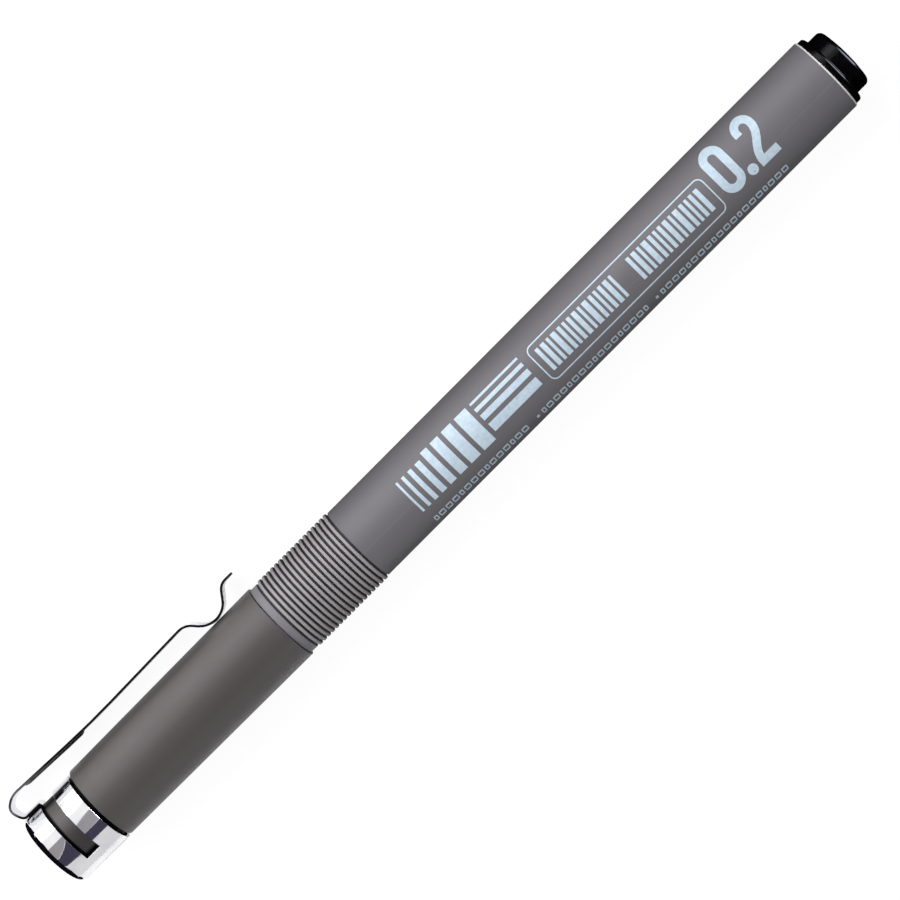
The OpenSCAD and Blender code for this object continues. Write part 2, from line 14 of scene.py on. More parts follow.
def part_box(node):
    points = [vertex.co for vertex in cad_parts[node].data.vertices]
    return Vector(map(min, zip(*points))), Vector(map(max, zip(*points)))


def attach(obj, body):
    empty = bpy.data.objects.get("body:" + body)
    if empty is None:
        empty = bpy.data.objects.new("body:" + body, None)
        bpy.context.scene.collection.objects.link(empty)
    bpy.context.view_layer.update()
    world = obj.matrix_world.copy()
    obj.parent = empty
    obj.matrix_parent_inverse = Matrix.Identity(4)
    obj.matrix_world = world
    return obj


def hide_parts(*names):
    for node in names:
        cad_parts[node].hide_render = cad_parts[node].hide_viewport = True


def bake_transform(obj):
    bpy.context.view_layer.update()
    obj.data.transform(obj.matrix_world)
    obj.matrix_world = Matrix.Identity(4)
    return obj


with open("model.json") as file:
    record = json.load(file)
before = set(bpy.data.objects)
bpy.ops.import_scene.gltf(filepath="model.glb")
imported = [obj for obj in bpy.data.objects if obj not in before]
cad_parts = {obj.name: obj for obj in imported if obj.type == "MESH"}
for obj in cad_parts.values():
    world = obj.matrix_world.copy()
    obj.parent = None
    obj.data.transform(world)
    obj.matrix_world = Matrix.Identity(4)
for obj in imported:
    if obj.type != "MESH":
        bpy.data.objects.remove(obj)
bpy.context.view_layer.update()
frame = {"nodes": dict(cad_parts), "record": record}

MM = 0.001

# ---------------------------------------------------------------- sizes, in mm

# Barrel and rear plug
BARREL_R = 5.2
RIDGE_R = 5.36
FIRST_GROOVE = 0.68
GROOVES = 18
GROOVE_PITCH = 0.69
GROOVE_W = 0.36
GROOVE_FLOOR_W = 0.14
GROOVE_DEPTH = 0.36
SEAT_R = 4.55
SEAT_BEAD_R = SEAT_R + 0.06
BORE_R = 4.25
SOCKET_R = 3.7
SOCKET_L = 9.75
BUTTON_R = 4.2
FLANGE_R = 5.0
PLUG_R = 4.23
PLUG_BORE_R = 3.33
Z_FLANGE = 2.42
Z_BARREL = 3.35
Z_PLUG_FRONT = 7.95
Z_GRIP = 81.75
Z_SEAT = 95.385
Z_SEAT_BEAD = Z_SEAT + 3
Z_FRONT = 107.735

# Writing end
TAIL_R = 3.68
TAIL_BORE_R = 2.68
TAIL_L = 9.7
NOSE_FLANGE_R = 4.3
NOSE_R = 3.2
TAPER_R = 3.1
DISC_R = 2.65
FEED_R = 1.12
COLLAR_HOLE_R = 1.32
COLLAR_HOLE_L = 2.25
COLLAR_R = 2.37
COLLAR_STEP_R = 1.57
COLLAR_SHANK_R = 1.3
COLLAR_SHANK_L = 2.2
NEEDLE_HOLE_R = 0.44
NEEDLE_R = 0.42
NEEDLE_BORE_R = 0.27
NEEDLE_SHANK_L = 4.4
NIB_R = 0.25
NIB_L = 12.35
Z_SEAL = 108.535
Z_TAPER = 110.335
Z_DISC = 117.535
Z_SHOULDER = 117.935
Z_NEEDLE = 119.035
Z_MOUTH = 123.635
Z_POINT = 124.585

# Cap, inner sleeve and metal cup
CAP_RIM_R = 5.448
CAP_SHOULDER_R = 5.25
CAP_BORE_R = 4.65
STUB_R = 4.68
POCKET_R = 4.05
HOLLOW_R = 3.05
SLEEVE_R = 4.0
SLEEVE_BORE_R = 3.25
CUP_R = 5.2
CUP_OFF_CENTRE = 0.15
CUP_ROUND = 0.95
CROWN_H = 0.35
SHEET_T = 0.3
SLOT_HALF_ANGLE = 133.0
Z_CAP_RIM = 95.435
Z_CAP_SHOULDER = 126.385
Z_CUP_RIM = 126.785
Z_SLEEVE_FLOOR = 126.985
Z_SLEEVE_END = 127.885
Z_POCKET_END = 127.935
Z_SLOT = 129.435
Z_HOLLOW_END = 131.435
Z_SLOT_END = 131.535
Z_CAP_END = 134.335
Z_CUP_EDGE = 134.685
PEN_L = 135.035

# ---------------------------------------------------------------- where the pen lies

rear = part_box("rear_plug")
clip_hinge = next(j for j in frame["record"]["behaviour"]["joints"] if j["name"] == "clip_flex")
roll = math.atan2(-clip_hinge["axis"][1], clip_hinge["axis"][2])
TO_CLIP = Vector((0, -math.cos(roll), -math.sin(roll)))
ACROSS = Vector((0, math.sin(roll), -math.cos(roll)))
ALONG = Vector((1, 0, 0))
TO_CAMERA = -ACROSS
AXIS_START = Vector((rear[0].x, (rear[0].y + rear[1].y) / 2, (rear[0].z + rear[1].z) / 2))


def in_row(points):
    """Points of the pen's own axes in mm, as points of the row in metres."""
    axes = np.array([TO_CLIP, ACROSS, ALONG])
    return np.asarray(points, float) @ axes * MM + np.array(AXIS_START)


# ---------------------------------------------------------------- meshes

def piece(name, points, faces, body, finishes, slot, stands_for=(), sharp=40, finish_of=None):
    """A mesh object made of points in mm, riding on a body of the model."""
    mesh = bpy.data.meshes.new(name)
    mesh.from_pydata(in_row(points).tolist(), [], faces)
    for finish in finishes:
        mesh.materials.append(finish)
    if finish_of:
        mesh.polygons.foreach_set("material_index", finish_of)
    mesh.polygons.foreach_set("use_smooth", [True] * len(mesh.polygons))
    mesh.set_sharp_from_angle(angle=math.radians(sharp))
    made = bpy.data.objects.new(name, mesh)
    bpy.context.scene.collection.objects.link(made)
    if body:
        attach(made, body)
    if stands_for:
        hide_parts(*stands_for)
    return made


def fillet(path, closed=False, step=15):
    """The path (a, b) or (a, b, radius), with an arc at each corner that has a radius."""
    out = []
    count = len(path)
    for i, knot in enumerate(path):
        here = np.array(knot[:2], float)
        radius = knot[2] if len(knot) > 2 else 0
        if not radius or (not closed and i in (0, count - 1)):
            out.append(here)
            continue
        back = np.array(path[i - 1][:2], float) - here
        on = np.array(path[(i + 1) % count][:2], float) - here
        back /= np.linalg.norm(back)
        on /= np.linalg.norm(on)
        half = math.acos(np.clip(back @ on, -1, 1)) / 2
        to_middle = (back + on) / np.linalg.norm(back + on)
        middle = here + to_middle * radius / math.sin(half)
        start = here + back * radius / math.tan(half) - middle
        turn = (math.pi - 2 * half) * np.sign(back[0] * on[1] - back[1] * on[0]) * -1
        steps = max(2, math.ceil(abs(math.degrees(turn)) / step))
        for k in range(steps + 1):
            c, s = math.cos(turn * k / steps), math.sin(turn * k / steps)
            out.append(middle + np.array([start[0] * c - start[1] * s, start[0] * s + start[1] * c]))
    return [tuple(p) for p in out]


def with_guards(profile, long=0.5, near=0.03):
    """Adds a point close to each end of every long straight, so that it is shaded as a straight."""
    out = []
    for p, q in zip(profile, profile[1:] + profile[:1]):
        out.append(p)
        p, q = np.array(p), np.array(q)
        length = np.linalg.norm(q - p)
        if length > long:
            out += [tuple(p + (q - p) * near / length), tuple(q - (q - p) * near / length)]
    return out


def turned(profile, sides=160):
    """Points and faces of a closed outline (z, radius), turned round the pen's axis."""
    profile = with_guards(profile)
    points, faces, rings = [], [], []
    angles = np.linspace(0, 2 * math.pi, sides, endpoint=False)
    for z, r in profile:
        if r < 1e-6:
            rings.append([len(points)] * sides)
            points.append((0, 0, z))
        else:
            rings.append(list(range(len(points), len(points) + sides)))
            points += [(r * math.cos(a), r * math.sin(a), z) for a in angles]
    area = sum(p[0] * q[1] - q[0] * p[1] for p, q in zip(profile, profile[1:] + profile[:1]))
    for low, high in zip(rings, rings[1:] + rings[:1]):
        for k in range(sides):
            j = (k + 1) % sides
            face = []
            for v in (low[k], low[j], high[j], high[k]):
                if v not in face:
                    face.append(v)
            if len(face) > 2:
                faces.append(face if area < 0 else face[::-1])
    return points, faces


# ---------------------------------------------------------------- finishes

def linear(hex_colour):
    """A colour written as sRGB hex, in the linear values that the shader reads."""
    parts = [int(hex_colour[i:i + 2], 16) / 255 for i in (1, 3, 5)]
    return tuple(c / 12.92 if c <= 0.04045 else ((c + 0.055) / 1.055) ** 2.4 for c in parts) + (1.0,)


def add(tree, kind, inputs=None, **settings):
    """Adds a node with its settings. Each input is given a socket to join or a value to hold."""
    made = tree.nodes.new(kind)
    for name, value in settings.items():
        setattr(made, name, value)
    for name, value in (inputs or {}).items():
        if isinstance(value, bpy.types.NodeSocket):
            tree.links.new(value, made.inputs[name])
        else:
            made.inputs[name].default_value = value
    return made


def new_finish(name):
    """A material with an empty tree."""
    made = bpy.data.materials.new(name)
    made.use_nodes = True
    made.node_tree.nodes.clear()
    return made, made.node_tree


def place_on_pen(tree):
    """Place on the pen in mm, then its parts: along it, round it in radians, out from its axis."""
    place = add(tree, "ShaderNodeTexCoord").outputs["Object"]
    moved = add(tree, "ShaderNodeVectorMath", {0: place, 1: tuple(-AXIS_START)}, operation="ADD")
    scaled = add(tree, "ShaderNodeVectorMath", {0: moved.outputs[0], "Scale": 1 / MM}, operation="SCALE")
    xyz = add(tree, "ShaderNodeSeparateXYZ", {0: scaled.outputs[0]})
    angle = add(tree, "ShaderNodeMath", {0: xyz.outputs["Y"], 1: xyz.outputs["Z"]}, operation="ARCTAN2")
    flat = add(tree, "ShaderNodeCombineXYZ", {"Y": xyz.outputs["Y"], "Z": xyz.outputs["Z"]})
    out = add(tree, "ShaderNodeVectorMath", {0: flat.outputs[0]}, operation="LENGTH")
    return scaled.outputs[0], xyz.outputs["X"], angle.outputs[0], out.outputs["Value"]


def mottle(tree, place, size_mm, low=0.0, high=1.0, stretch=(1, 1, 1), detail=2.0):
    """A cloudy pattern with features about size_mm across, that runs from low to high."""
    scaled = add(tree, "ShaderNodeVectorMath", {0: place, 1: tuple(s / size_mm for s in stretch)},
                 operation="MULTIPLY")
    cloud = add(tree, "ShaderNodeTexNoise", {"Vector": scaled.outputs[0], "Scale": 1.0, "Detail": detail})
    return add(tree, "ShaderNodeMapRange", {"Value": cloud.outputs[0], "From Min": 0.3, "From Max": 0.7,
                                            "To Min": low, "To Max": high}).outputs[0]


def parting_line(tree, angle, at, half_width_mm):
    """1 on the two lines that the halves of the mould leave along the pen, else 0."""
    turned_by = add(tree, "ShaderNodeMath", {0: angle, 1: at}, operation="SUBTRACT")
    sine = add(tree, "ShaderNodeMath", {0: turned_by.outputs[0]}, operation="SINE")
    off = add(tree, "ShaderNodeMath", {0: sine.outputs[0]}, operation="ABSOLUTE")
    half = half_width_mm / BARREL_R
    return add(tree, "ShaderNodeMapRange", {"Value": off.outputs[0], "From Min": half * 0.4, "From Max": half,
                                            "To Min": 1.0, "To Max": 0.0}).outputs[0]


def barrel_polypropylene():
    """Polypropylene moulded in a spark-eroded tool: a satin grey skin, cloudy where the melt flowed, with a
    fine parting line. Painted highlights make the crests of the ridges, the ring next to the cap's rim and
    the rear edge paler, and painted shade darkens the grooves and the bore."""
    made, tree = new_finish("moulded polypropylene, grey")
    place, along, angle, out = place_on_pen(tree)
    body = add(tree, "ShaderNodeMix", {0: mottle(tree, place, 6.0, stretch=(0.25, 1, 1), detail=3.0),
                                       6: linear("#6c6a6d"), 7: linear("#727074")}, data_type="RGBA")
    # Painted highlight: the ring next to the cap's rim is made paler.
    by_cap = add(tree, "ShaderNodeMapRange", {"Value": along, "From Min": Z_SEAT - 1.05,
                                              "From Max": Z_SEAT - 0.95})
    ring_highlight = add(tree, "ShaderNodeMix", {0: by_cap.outputs[0], 6: body.outputs[2], 7: linear("#807e82")},
                  data_type="RGBA")
    # Painted shade: the floors of the grooves, and the bore inside, are darkened.
    deep = add(tree, "ShaderNodeMapRange", {"Value": out, "From Min": BARREL_R, "From Max": 5.03})
    before_seat = add(tree, "ShaderNodeMath", {0: along, 1: Z_SEAT - 0.5}, operation="LESS_THAN")
    in_groove = add(tree, "ShaderNodeMath", {0: deep.outputs[0], 1: before_seat.outputs[0]},
                    operation="MULTIPLY")
    groove_shade = add(tree, "ShaderNodeMix", {0: in_groove.outputs[0], 6: ring_highlight.outputs[2],
                                          7: linear("#373536")}, data_type="RGBA")
    # Painted highlight: the crests of the ridges are made paler.
    lightened = add(tree, "ShaderNodeMapRange", {"Value": out, "From Min": 5.24, "From Max": 5.33})
    ridges = add(tree, "ShaderNodeMix", {0: lightened.outputs[0], 6: groove_shade.outputs[2], 7: linear("#a39fa1")},
                 data_type="RGBA")
    # Painted highlight: a pale line along the rear edge.
    rear_edge_highlight = add(tree, "ShaderNodeMapRange", {"Value": along, "From Min": 3.6, "From Max": 3.52})
    edge = add(tree, "ShaderNodeMix", {0: rear_edge_highlight.outputs[0], 6: ridges.outputs[2], 7: linear("#f2f0ec")},
               data_type="RGBA")
    seam = parting_line(tree, angle, -roll + math.radians(14), 0.09)
    faint = add(tree, "ShaderNodeMath", {0: seam, 1: 0.22}, operation="MULTIPLY")
    colour = add(tree, "ShaderNodeMix", {0: faint.outputs[0], 6: edge.outputs[2], 7: linear("#8e8b90")},
                 data_type="RGBA")
    # The spark texture is about 0.05 mm across. It is drawn at 0.22 mm, so that it shows.
    texture = mottle(tree, place, 0.22, detail=1.0)
    height = add(tree, "ShaderNodeMath", {0: texture, 1: seam}, operation="ADD")
    bump = add(tree, "ShaderNodeBump", {"Height": height.outputs[0], "Distance": 0.004 * MM, "Strength": 1.0})
    skin = add(tree, "ShaderNodeBsdfPrincipled", {
        "Base Color": colour.outputs[2], "Roughness": mottle(tree, place, 2.5, 0.5, 0.57),
        "Normal": bump.outputs[0], "IOR": 1.49})
    add(tree, "ShaderNodeOutputMaterial", {"Surface": skin.outputs[0]})
    return made


def cap_polypropylene():
    """The same plastic in a darker grey and a smoother tool, so that it shines more. Painted shade darkens
    the stub where the cup and the clip's foot shade it, along its low side and by the slot's edge, and makes
    the joint under the cup nearly black; its sheen is turned down there too."""
    made, tree = new_finish("moulded polypropylene, dark grey")
    place, along, _, out = place_on_pen(tree)
    body = add(tree, "ShaderNodeMix", {0: mottle(tree, place, 7.0, stretch=(0.25, 1, 1), detail=3.0),
                                       6: linear("#504c4c"), 7: linear("#565252")}, data_type="RGBA")
    # Painted shade on the stub in the slot: dark under the clip's foot, at the slot's low end, along the
    # stub's low side and by the slot's edge at the closed end.
    height = add(tree, "ShaderNodeVectorMath", {0: place, 1: tuple(TO_CLIP)}, operation="DOT_PRODUCT")
    by_foot = add(tree, "ShaderNodeMapRange", {"Value": height.outputs["Value"],
                                               "From Min": 3.7, "From Max": 4.2})
    low_side = add(tree, "ShaderNodeMapRange", {"Value": height.outputs["Value"],
                                                "From Min": 1.8, "From Max": -0.4, "To Max": 0.42})
    by_end = add(tree, "ShaderNodeMapRange", {"Value": height.outputs["Value"],
                                              "From Min": -2.5, "From Max": -3.3})
    by_edge = add(tree, "ShaderNodeMapRange", {"Value": along, "From Min": Z_SLOT_END - 0.55,
                                               "From Max": Z_SLOT_END - 0.25})
    ends = add(tree, "ShaderNodeMath", {0: by_foot.outputs[0], 1: by_end.outputs[0]}, operation="MAXIMUM")
    sides = add(tree, "ShaderNodeMath", {0: low_side.outputs[0], 1: by_edge.outputs[0]}, operation="MAXIMUM")
    shaded = add(tree, "ShaderNodeMath", {0: ends.outputs[0], 1: sides.outputs[0]}, operation="MAXIMUM")
    sunk = add(tree, "ShaderNodeMapRange", {"Value": out, "From Min": STUB_R + 0.12,
                                            "From Max": STUB_R + 0.02})
    past = add(tree, "ShaderNodeMath", {0: along, 1: Z_CUP_RIM + 1}, operation="GREATER_THAN")
    stub = add(tree, "ShaderNodeMath", {0: sunk.outputs[0], 1: past.outputs[0]}, operation="MULTIPLY")
    shade = add(tree, "ShaderNodeMath", {0: shaded.outputs[0], 1: stub.outputs[0]}, operation="MULTIPLY")
    # Painted shade: the joint between the cap's shoulder and the cup's rim is nearly black.
    after = add(tree, "ShaderNodeMapRange", {"Value": along, "From Min": Z_CAP_SHOULDER - 0.14,
                                             "From Max": Z_CAP_SHOULDER - 0.08})
    before = add(tree, "ShaderNodeMath", {0: along, 1: Z_CUP_RIM + 0.2}, operation="LESS_THAN")
    joint = add(tree, "ShaderNodeMath", {0: after.outputs[0], 1: before.outputs[0]}, operation="MULTIPLY")
    dark = add(tree, "ShaderNodeMath", {0: shade.outputs[0], 1: joint.outputs[0]}, operation="MAXIMUM")
    colour = add(tree, "ShaderNodeMix", {0: dark.outputs[0], 6: body.outputs[2], 7: linear("#050505")},
                 data_type="RGBA")
    # The sheen is turned down where the painted shade lies.
    shine = add(tree, "ShaderNodeMapRange", {"Value": dark.outputs[0], "To Min": 0.5, "To Max": 0.03})
    texture = mottle(tree, place, 0.22, detail=1.0)
    bump = add(tree, "ShaderNodeBump", {"Height": texture, "Distance": 0.003 * MM, "Strength": 1.0})
    skin = add(tree, "ShaderNodeBsdfPrincipled", {
        "Base Color": colour.outputs[2], "Roughness": mottle(tree, place, 2.5, 0.38, 0.44),
        "Specular IOR Level": shine.outputs[0], "Normal": bump.outputs[0], "IOR": 1.49})
    add(tree, "ShaderNodeOutputMaterial", {"Surface": skin.outputs[0]})
    return made


def black_polypropylene():
    """Polypropylene moulded in a polished tool: black, with narrow and slightly wavy highlights."""
    made, tree = new_finish("polished polypropylene, black")
    place = place_on_pen(tree)[0]
    colour = add(tree, "ShaderNodeMix", {0: mottle(tree, place, 1.2, detail=3.0),
                                         6: linear("#040405"), 7: linear("#09090b")}, data_type="RGBA")
    bump = add(tree, "ShaderNodeBump", {"Height": mottle(tree, place, 0.9), "Distance": 0.006 * MM,
                                        "Strength": 1.0})
    skin = add(tree, "ShaderNodeBsdfPrincipled", {
        "Base Color": colour.outputs[2], "Roughness": mottle(tree, place, 0.6, 0.14, 0.22),
        "Normal": bump.outputs[0], "IOR": 1.49, "Specular IOR Level": 0.2})
    add(tree, "ShaderNodeOutputMaterial", {"Surface": skin.outputs[0]})
    return made


def plated_sheet(name, colour, roughness):
    """Bright plating over drawn steel sheet: a mirror that keeps faint polishing lines round the
    pen and a few hazy patches."""
    made, tree = new_finish(name)
    place = place_on_pen(tree)[0]
    haze = mottle(tree, place, 3.0, detail=3.0)
    tone = add(tree, "ShaderNodeMix", {0: haze, 6: linear(colour), 7: linear("#f4f4f6")}, data_type="RGBA")
    # Polishing lines are a few hundredths of a millimetre apart, drawn at 0.06 mm.
    lines = mottle(tree, place, 0.06, stretch=(1, 0.05, 0.05))
    bump = add(tree, "ShaderNodeBump", {"Height": lines, "Distance": 0.0008 * MM, "Strength": 1.0})
    skin = add(tree, "ShaderNodeBsdfPrincipled", {
        "Base Color": tone.outputs[2], "Roughness": mottle(tree, place, 2.0, roughness, roughness + 0.05),
        "Normal": bump.outputs[0], "Metallic": 1.0})
    add(tree, "ShaderNodeOutputMaterial", {"Surface": skin.outputs[0]})
    return made


def edge_steel_and_shade():
    """The cut edge of the spring strip: bare hardened steel, dark and grainy, with a painted highlight that
    makes it brighter round the bend. The same dark finish is painted shade on the faces under the bead and
    the dimple."""
    made, tree = new_finish("sheared spring steel edge and painted shade")
    place, along = place_on_pen(tree)[:2]
    torn = mottle(tree, place, 0.12, stretch=(0.4, 1, 1), detail=3.0)
    dark = add(tree, "ShaderNodeMix", {0: torn, 6: linear("#18181a"), 7: linear("#2c2c2e")}, data_type="RGBA")
    # Painted highlight: brighter round the bend, over the foot.
    by_bend = add(tree, "ShaderNodeMapRange", {"Value": along, "From Min": 127.5, "From Max": 133.0})
    height = add(tree, "ShaderNodeVectorMath", {0: place, 1: tuple(TO_CLIP)}, operation="DOT_PRODUCT")
    over_foot = add(tree, "ShaderNodeMapRange", {"Value": height.outputs["Value"],
                                                 "From Min": 5.6, "From Max": 6.4})
    lightened = add(tree, "ShaderNodeMath", {0: by_bend.outputs[0], 1: over_foot.outputs[0]},
                 operation="MULTIPLY")
    colour = add(tree, "ShaderNodeMix", {0: lightened.outputs[0], 6: dark.outputs[2], 7: linear("#8f8f92")},
                 data_type="RGBA")
    bump = add(tree, "ShaderNodeBump", {"Height": torn, "Distance": 0.01 * MM, "Strength": 1.0})
    skin = add(tree, "ShaderNodeBsdfPrincipled", {
        "Base Color": colour.outputs[2], "Roughness": mottle(tree, place, 0.3, 0.4, 0.55),
        "Normal": bump.outputs[0], "Metallic": 1.0})
    add(tree, "ShaderNodeOutputMaterial", {"Surface": skin.outputs[0]})
    return made


def turned_steel():
    """Stainless steel turned on a lathe: fine rings that stretch every highlight."""
    made, tree = new_finish("turned stainless steel")
    place = place_on_pen(tree)[0]
    rings = mottle(tree, place, 0.12, stretch=(1, 0.04, 0.04))
    colour = add(tree, "ShaderNodeMix", {0: rings, 6: linear("#b4b0aa"), 7: linear("#cfccc6")},
                 data_type="RGBA")
    bump = add(tree, "ShaderNodeBump", {"Height": rings, "Distance": 0.003 * MM, "Strength": 1.0})
    skin = add(tree, "ShaderNodeBsdfPrincipled", {
        "Base Color": colour.outputs[2], "Roughness": mottle(tree, place, 0.5, 0.2, 0.34),
        "Normal": bump.outputs[0], "Metallic": 1.0})
    add(tree, "ShaderNodeOutputMaterial", {"Surface": skin.outputs[0]})
    return made


def natural_polypropylene():
    """Unpigmented polypropylene: milky, lets a little light through."""
    made, tree = new_finish("unpigmented polypropylene")
    place = place_on_pen(tree)[0]
    colour = add(tree, "ShaderNodeMix", {0: mottle(tree, place, 2.0, detail=3.0),
                                         6: linear("#e0e0d8"), 7: linear("#ecece6")}, data_type="RGBA")
    bump = add(tree, "ShaderNodeBump", {"Height": mottle(tree, place, 0.4), "Distance": 0.004 * MM,
                                        "Strength": 1.0})
    skin = add(tree, "ShaderNodeBsdfPrincipled", {
        "Base Color": colour.outputs[2], "Roughness": mottle(tree, place, 1.5, 0.3, 0.4),
        "Normal": bump.outputs[0], "IOR": 1.49, "Transmission Weight": 0.25})
    add(tree, "ShaderNodeOutputMaterial", {"Surface": skin.outputs[0]})
    return made


def inked_polyester():
    """Bonded polyester fibre soaked in black ink: the fibres run along the pen."""
    made, tree = new_finish("bonded polyester fibre, inked")
    place = place_on_pen(tree)[0]
    # Single fibres are 0.02 mm thick. They are drawn as bundles of 0.15 mm.
    fibres = mottle(tree, place, 0.15, stretch=(0.03, 1, 1), detail=3.0)
    colour = add(tree, "ShaderNodeMix", {0: fibres, 6: linear("#141418"), 7: linear("#2a2a32")},
                 data_type="RGBA")
    bump = add(tree, "ShaderNodeBump", {"Height": fibres, "Distance": 0.03 * MM, "Strength": 1.0})
    skin = add(tree, "ShaderNodeBsdfPrincipled", {
        "Base Color": colour.outputs[2], "Roughness": mottle(tree, place, 0.4, 0.45, 0.7),
        "Normal": bump.outputs[0], "IOR": 1.45})
    add(tree, "ShaderNodeOutputMaterial", {"Surface": skin.outputs[0]})
    return made


def stained_acetal():
    """Extruded acetal core stained by ink, a little paler at the point, where paper wears it."""
    made, tree = new_finish("extruded acetal, ink-stained")
    place, along = place_on_pen(tree)[:2]
    streaks = mottle(tree, place, 0.08, stretch=(0.1, 1, 1))
    dark = add(tree, "ShaderNodeMix", {0: streaks, 6: linear("#17171c"), 7: linear("#26262c")},
               data_type="RGBA")
    lightened = add(tree, "ShaderNodeMapRange", {"Value": along, "From Min": Z_POINT - 0.3, "From Max": Z_POINT})
    colour = add(tree, "ShaderNodeMix", {0: lightened.outputs[0], 6: dark.outputs[2], 7: linear("#3c3c42")},
                 data_type="RGBA")
    bump = add(tree, "ShaderNodeBump", {"Height": streaks, "Distance": 0.004 * MM, "Strength": 1.0})
    skin = add(tree, "ShaderNodeBsdfPrincipled", {
        "Base Color": colour.outputs[2], "Roughness": mottle(tree, place, 0.3, 0.35, 0.5),
        "Normal": bump.outputs[0], "IOR": 1.48})
    add(tree, "ShaderNodeOutputMaterial", {"Surface": skin.outputs[0]})
    return made


def pad_print():
    """Pad-printed ink, pale blue and faintly metallic, with the thin spots of a pad transfer."""
    made, tree = new_finish("pad-printed ink, pale blue")
    place = place_on_pen(tree)[0]
    thin = mottle(tree, place, 0.5, detail=4.0)
    colour = add(tree, "ShaderNodeMix", {0: thin, 6: linear("#c2d6e8"), 7: linear("#d6e7f3")},
                 data_type="RGBA")
    bump = add(tree, "ShaderNodeBump", {"Height": thin, "Distance": 0.002 * MM, "Strength": 1.0})
    skin = add(tree, "ShaderNodeBsdfPrincipled", {
        "Base Color": colour.outputs[2], "Roughness": mottle(tree, place, 0.8, 0.38, 0.5),
        "Normal": bump.outputs[0], "IOR": 1.5})
    add(tree, "ShaderNodeOutputMaterial", {"Surface": skin.outputs[0]})
    return made


barrel_plastic = barrel_polypropylene()
cap_plastic = cap_polypropylene()
plug_plastic = black_polypropylene()
cup_sheet = plated_sheet("bright plated steel sheet", "#e2e2e7", 0.05)
clip_strip_steel = plated_sheet("plated spring steel strip", "#d4d5da", 0.07)
clip_edge_and_shade_steel = edge_steel_and_shade()
collar_steel = turned_steel()
sleeve_plastic = natural_polypropylene()
fibre = inked_polyester()
nib_plastic = stained_acetal()
print_ink = pad_print()

# ---------------------------------------------------------------- barrel and plug


def barrel_outline():
    """Section (z, radius) of the barrel: bore, plug end, ridged grip, ring, seat and nose socket."""
    grip = []
    for i in range(GROOVES):
        z = Z_GRIP + FIRST_GROOVE + i * GROOVE_PITCH
        before = BARREL_R if i == 0 else RIDGE_R
        after = BARREL_R if i == GROOVES - 1 else RIDGE_R
        grip += [(z - GROOVE_W / 2, before, 0.07), (z - GROOVE_FLOOR_W / 2, RIDGE_R - GROOVE_DEPTH, 0.04),
                 (z + GROOVE_FLOOR_W / 2, RIDGE_R - GROOVE_DEPTH, 0.04), (z + GROOVE_W / 2, after, 0.07)]
    return fillet(
        [(Z_BARREL, BORE_R, 0.1), (Z_BARREL, BARREL_R, 0.15)] + grip
        + [(Z_SEAT, BARREL_R, 0.05), (Z_SEAT, SEAT_R, 0.05), (Z_SEAT_BEAD - 0.5, SEAT_R, 0.4),
           (Z_SEAT_BEAD - 0.1, SEAT_BEAD_R, 0.3), (Z_SEAT_BEAD + 0.1, SEAT_BEAD_R, 0.3),
           (Z_SEAT_BEAD + 0.5, SEAT_R, 0.4), (Z_FRONT - 0.5, SEAT_R, 0.3), (Z_FRONT, SEAT_R - 0.25, 0.1),
           (Z_FRONT, SOCKET_R), (Z_FRONT - SOCKET_L, SOCKET_R), (Z_FRONT - SOCKET_L, BORE_R)],
        closed=True)


piece("barrel_tube", *turned(barrel_outline(), 192), "pen", [barrel_plastic], "barrel_plastic",
      ["barrel"], 50)

DOME = [(0, 0), (0.04, 1.2), (0.14, 2.4), (0.29, 3.5), (0.38, BUTTON_R, 0.7)]
plug_outline = fillet(
    DOME + [(Z_FLANGE - 0.02, BUTTON_R, 0.13), (Z_FLANGE, FLANGE_R, 0.4), (Z_BARREL - 0.05, FLANGE_R, 0.1),
            (Z_BARREL - 0.05, PLUG_R), (Z_PLUG_FRONT, PLUG_R, 0.3), (Z_PLUG_FRONT, PLUG_BORE_R),
            (Z_FLANGE, PLUG_BORE_R), (Z_FLANGE, 0)],
    closed=True, step=9)
piece("end_plug", *turned(plug_outline), "pen", [plug_plastic], "black_plastic", ["rear_plug"])

# ---------------------------------------------------------------- writing end

nose_outline = fillet(
    [(Z_FRONT - TAIL_L, TAIL_BORE_R), (Z_FRONT - TAIL_L, TAIL_R), (Z_FRONT + 0.05, TAIL_R),
     (Z_FRONT + 0.05, NOSE_FLANGE_R, 0.12), (Z_SEAL, NOSE_FLANGE_R, 0.45), (Z_SEAL, NOSE_R, 0.2),
     (Z_TAPER - 0.12, NOSE_R, 0.05), (Z_TAPER, TAPER_R, 0.05), (Z_DISC, DISC_R, 0.3), (Z_DISC, COLLAR_HOLE_R),
     (Z_DISC - COLLAR_HOLE_L, COLLAR_HOLE_R), (Z_DISC - COLLAR_HOLE_L, FEED_R), (Z_FRONT + 1, FEED_R),
     (Z_FRONT - 0.7, TAIL_BORE_R)],
    closed=True)
piece("nose", *turned(nose_outline), "pen", [barrel_plastic], "barrel_plastic", ["nose_section"])

collar_outline = fillet(
    [(Z_DISC - COLLAR_SHANK_L, NEEDLE_HOLE_R), (Z_DISC - COLLAR_SHANK_L, COLLAR_SHANK_R, 0.1),
     (Z_DISC + 0.02, COLLAR_SHANK_R), (Z_DISC + 0.02, COLLAR_R, 0.06), (Z_SHOULDER, COLLAR_R, 0.12),
     (Z_SHOULDER, COLLAR_STEP_R, 0.08), (Z_NEEDLE - 0.3, COLLAR_STEP_R, 0.12),
     (Z_NEEDLE - 0.04, NEEDLE_HOLE_R + 0.12, 0.1), (Z_NEEDLE, NEEDLE_HOLE_R)],
    closed=True)
piece("collar", *turned(collar_outline, 96), "pen", [collar_steel], "steel", ["tip_collar"])

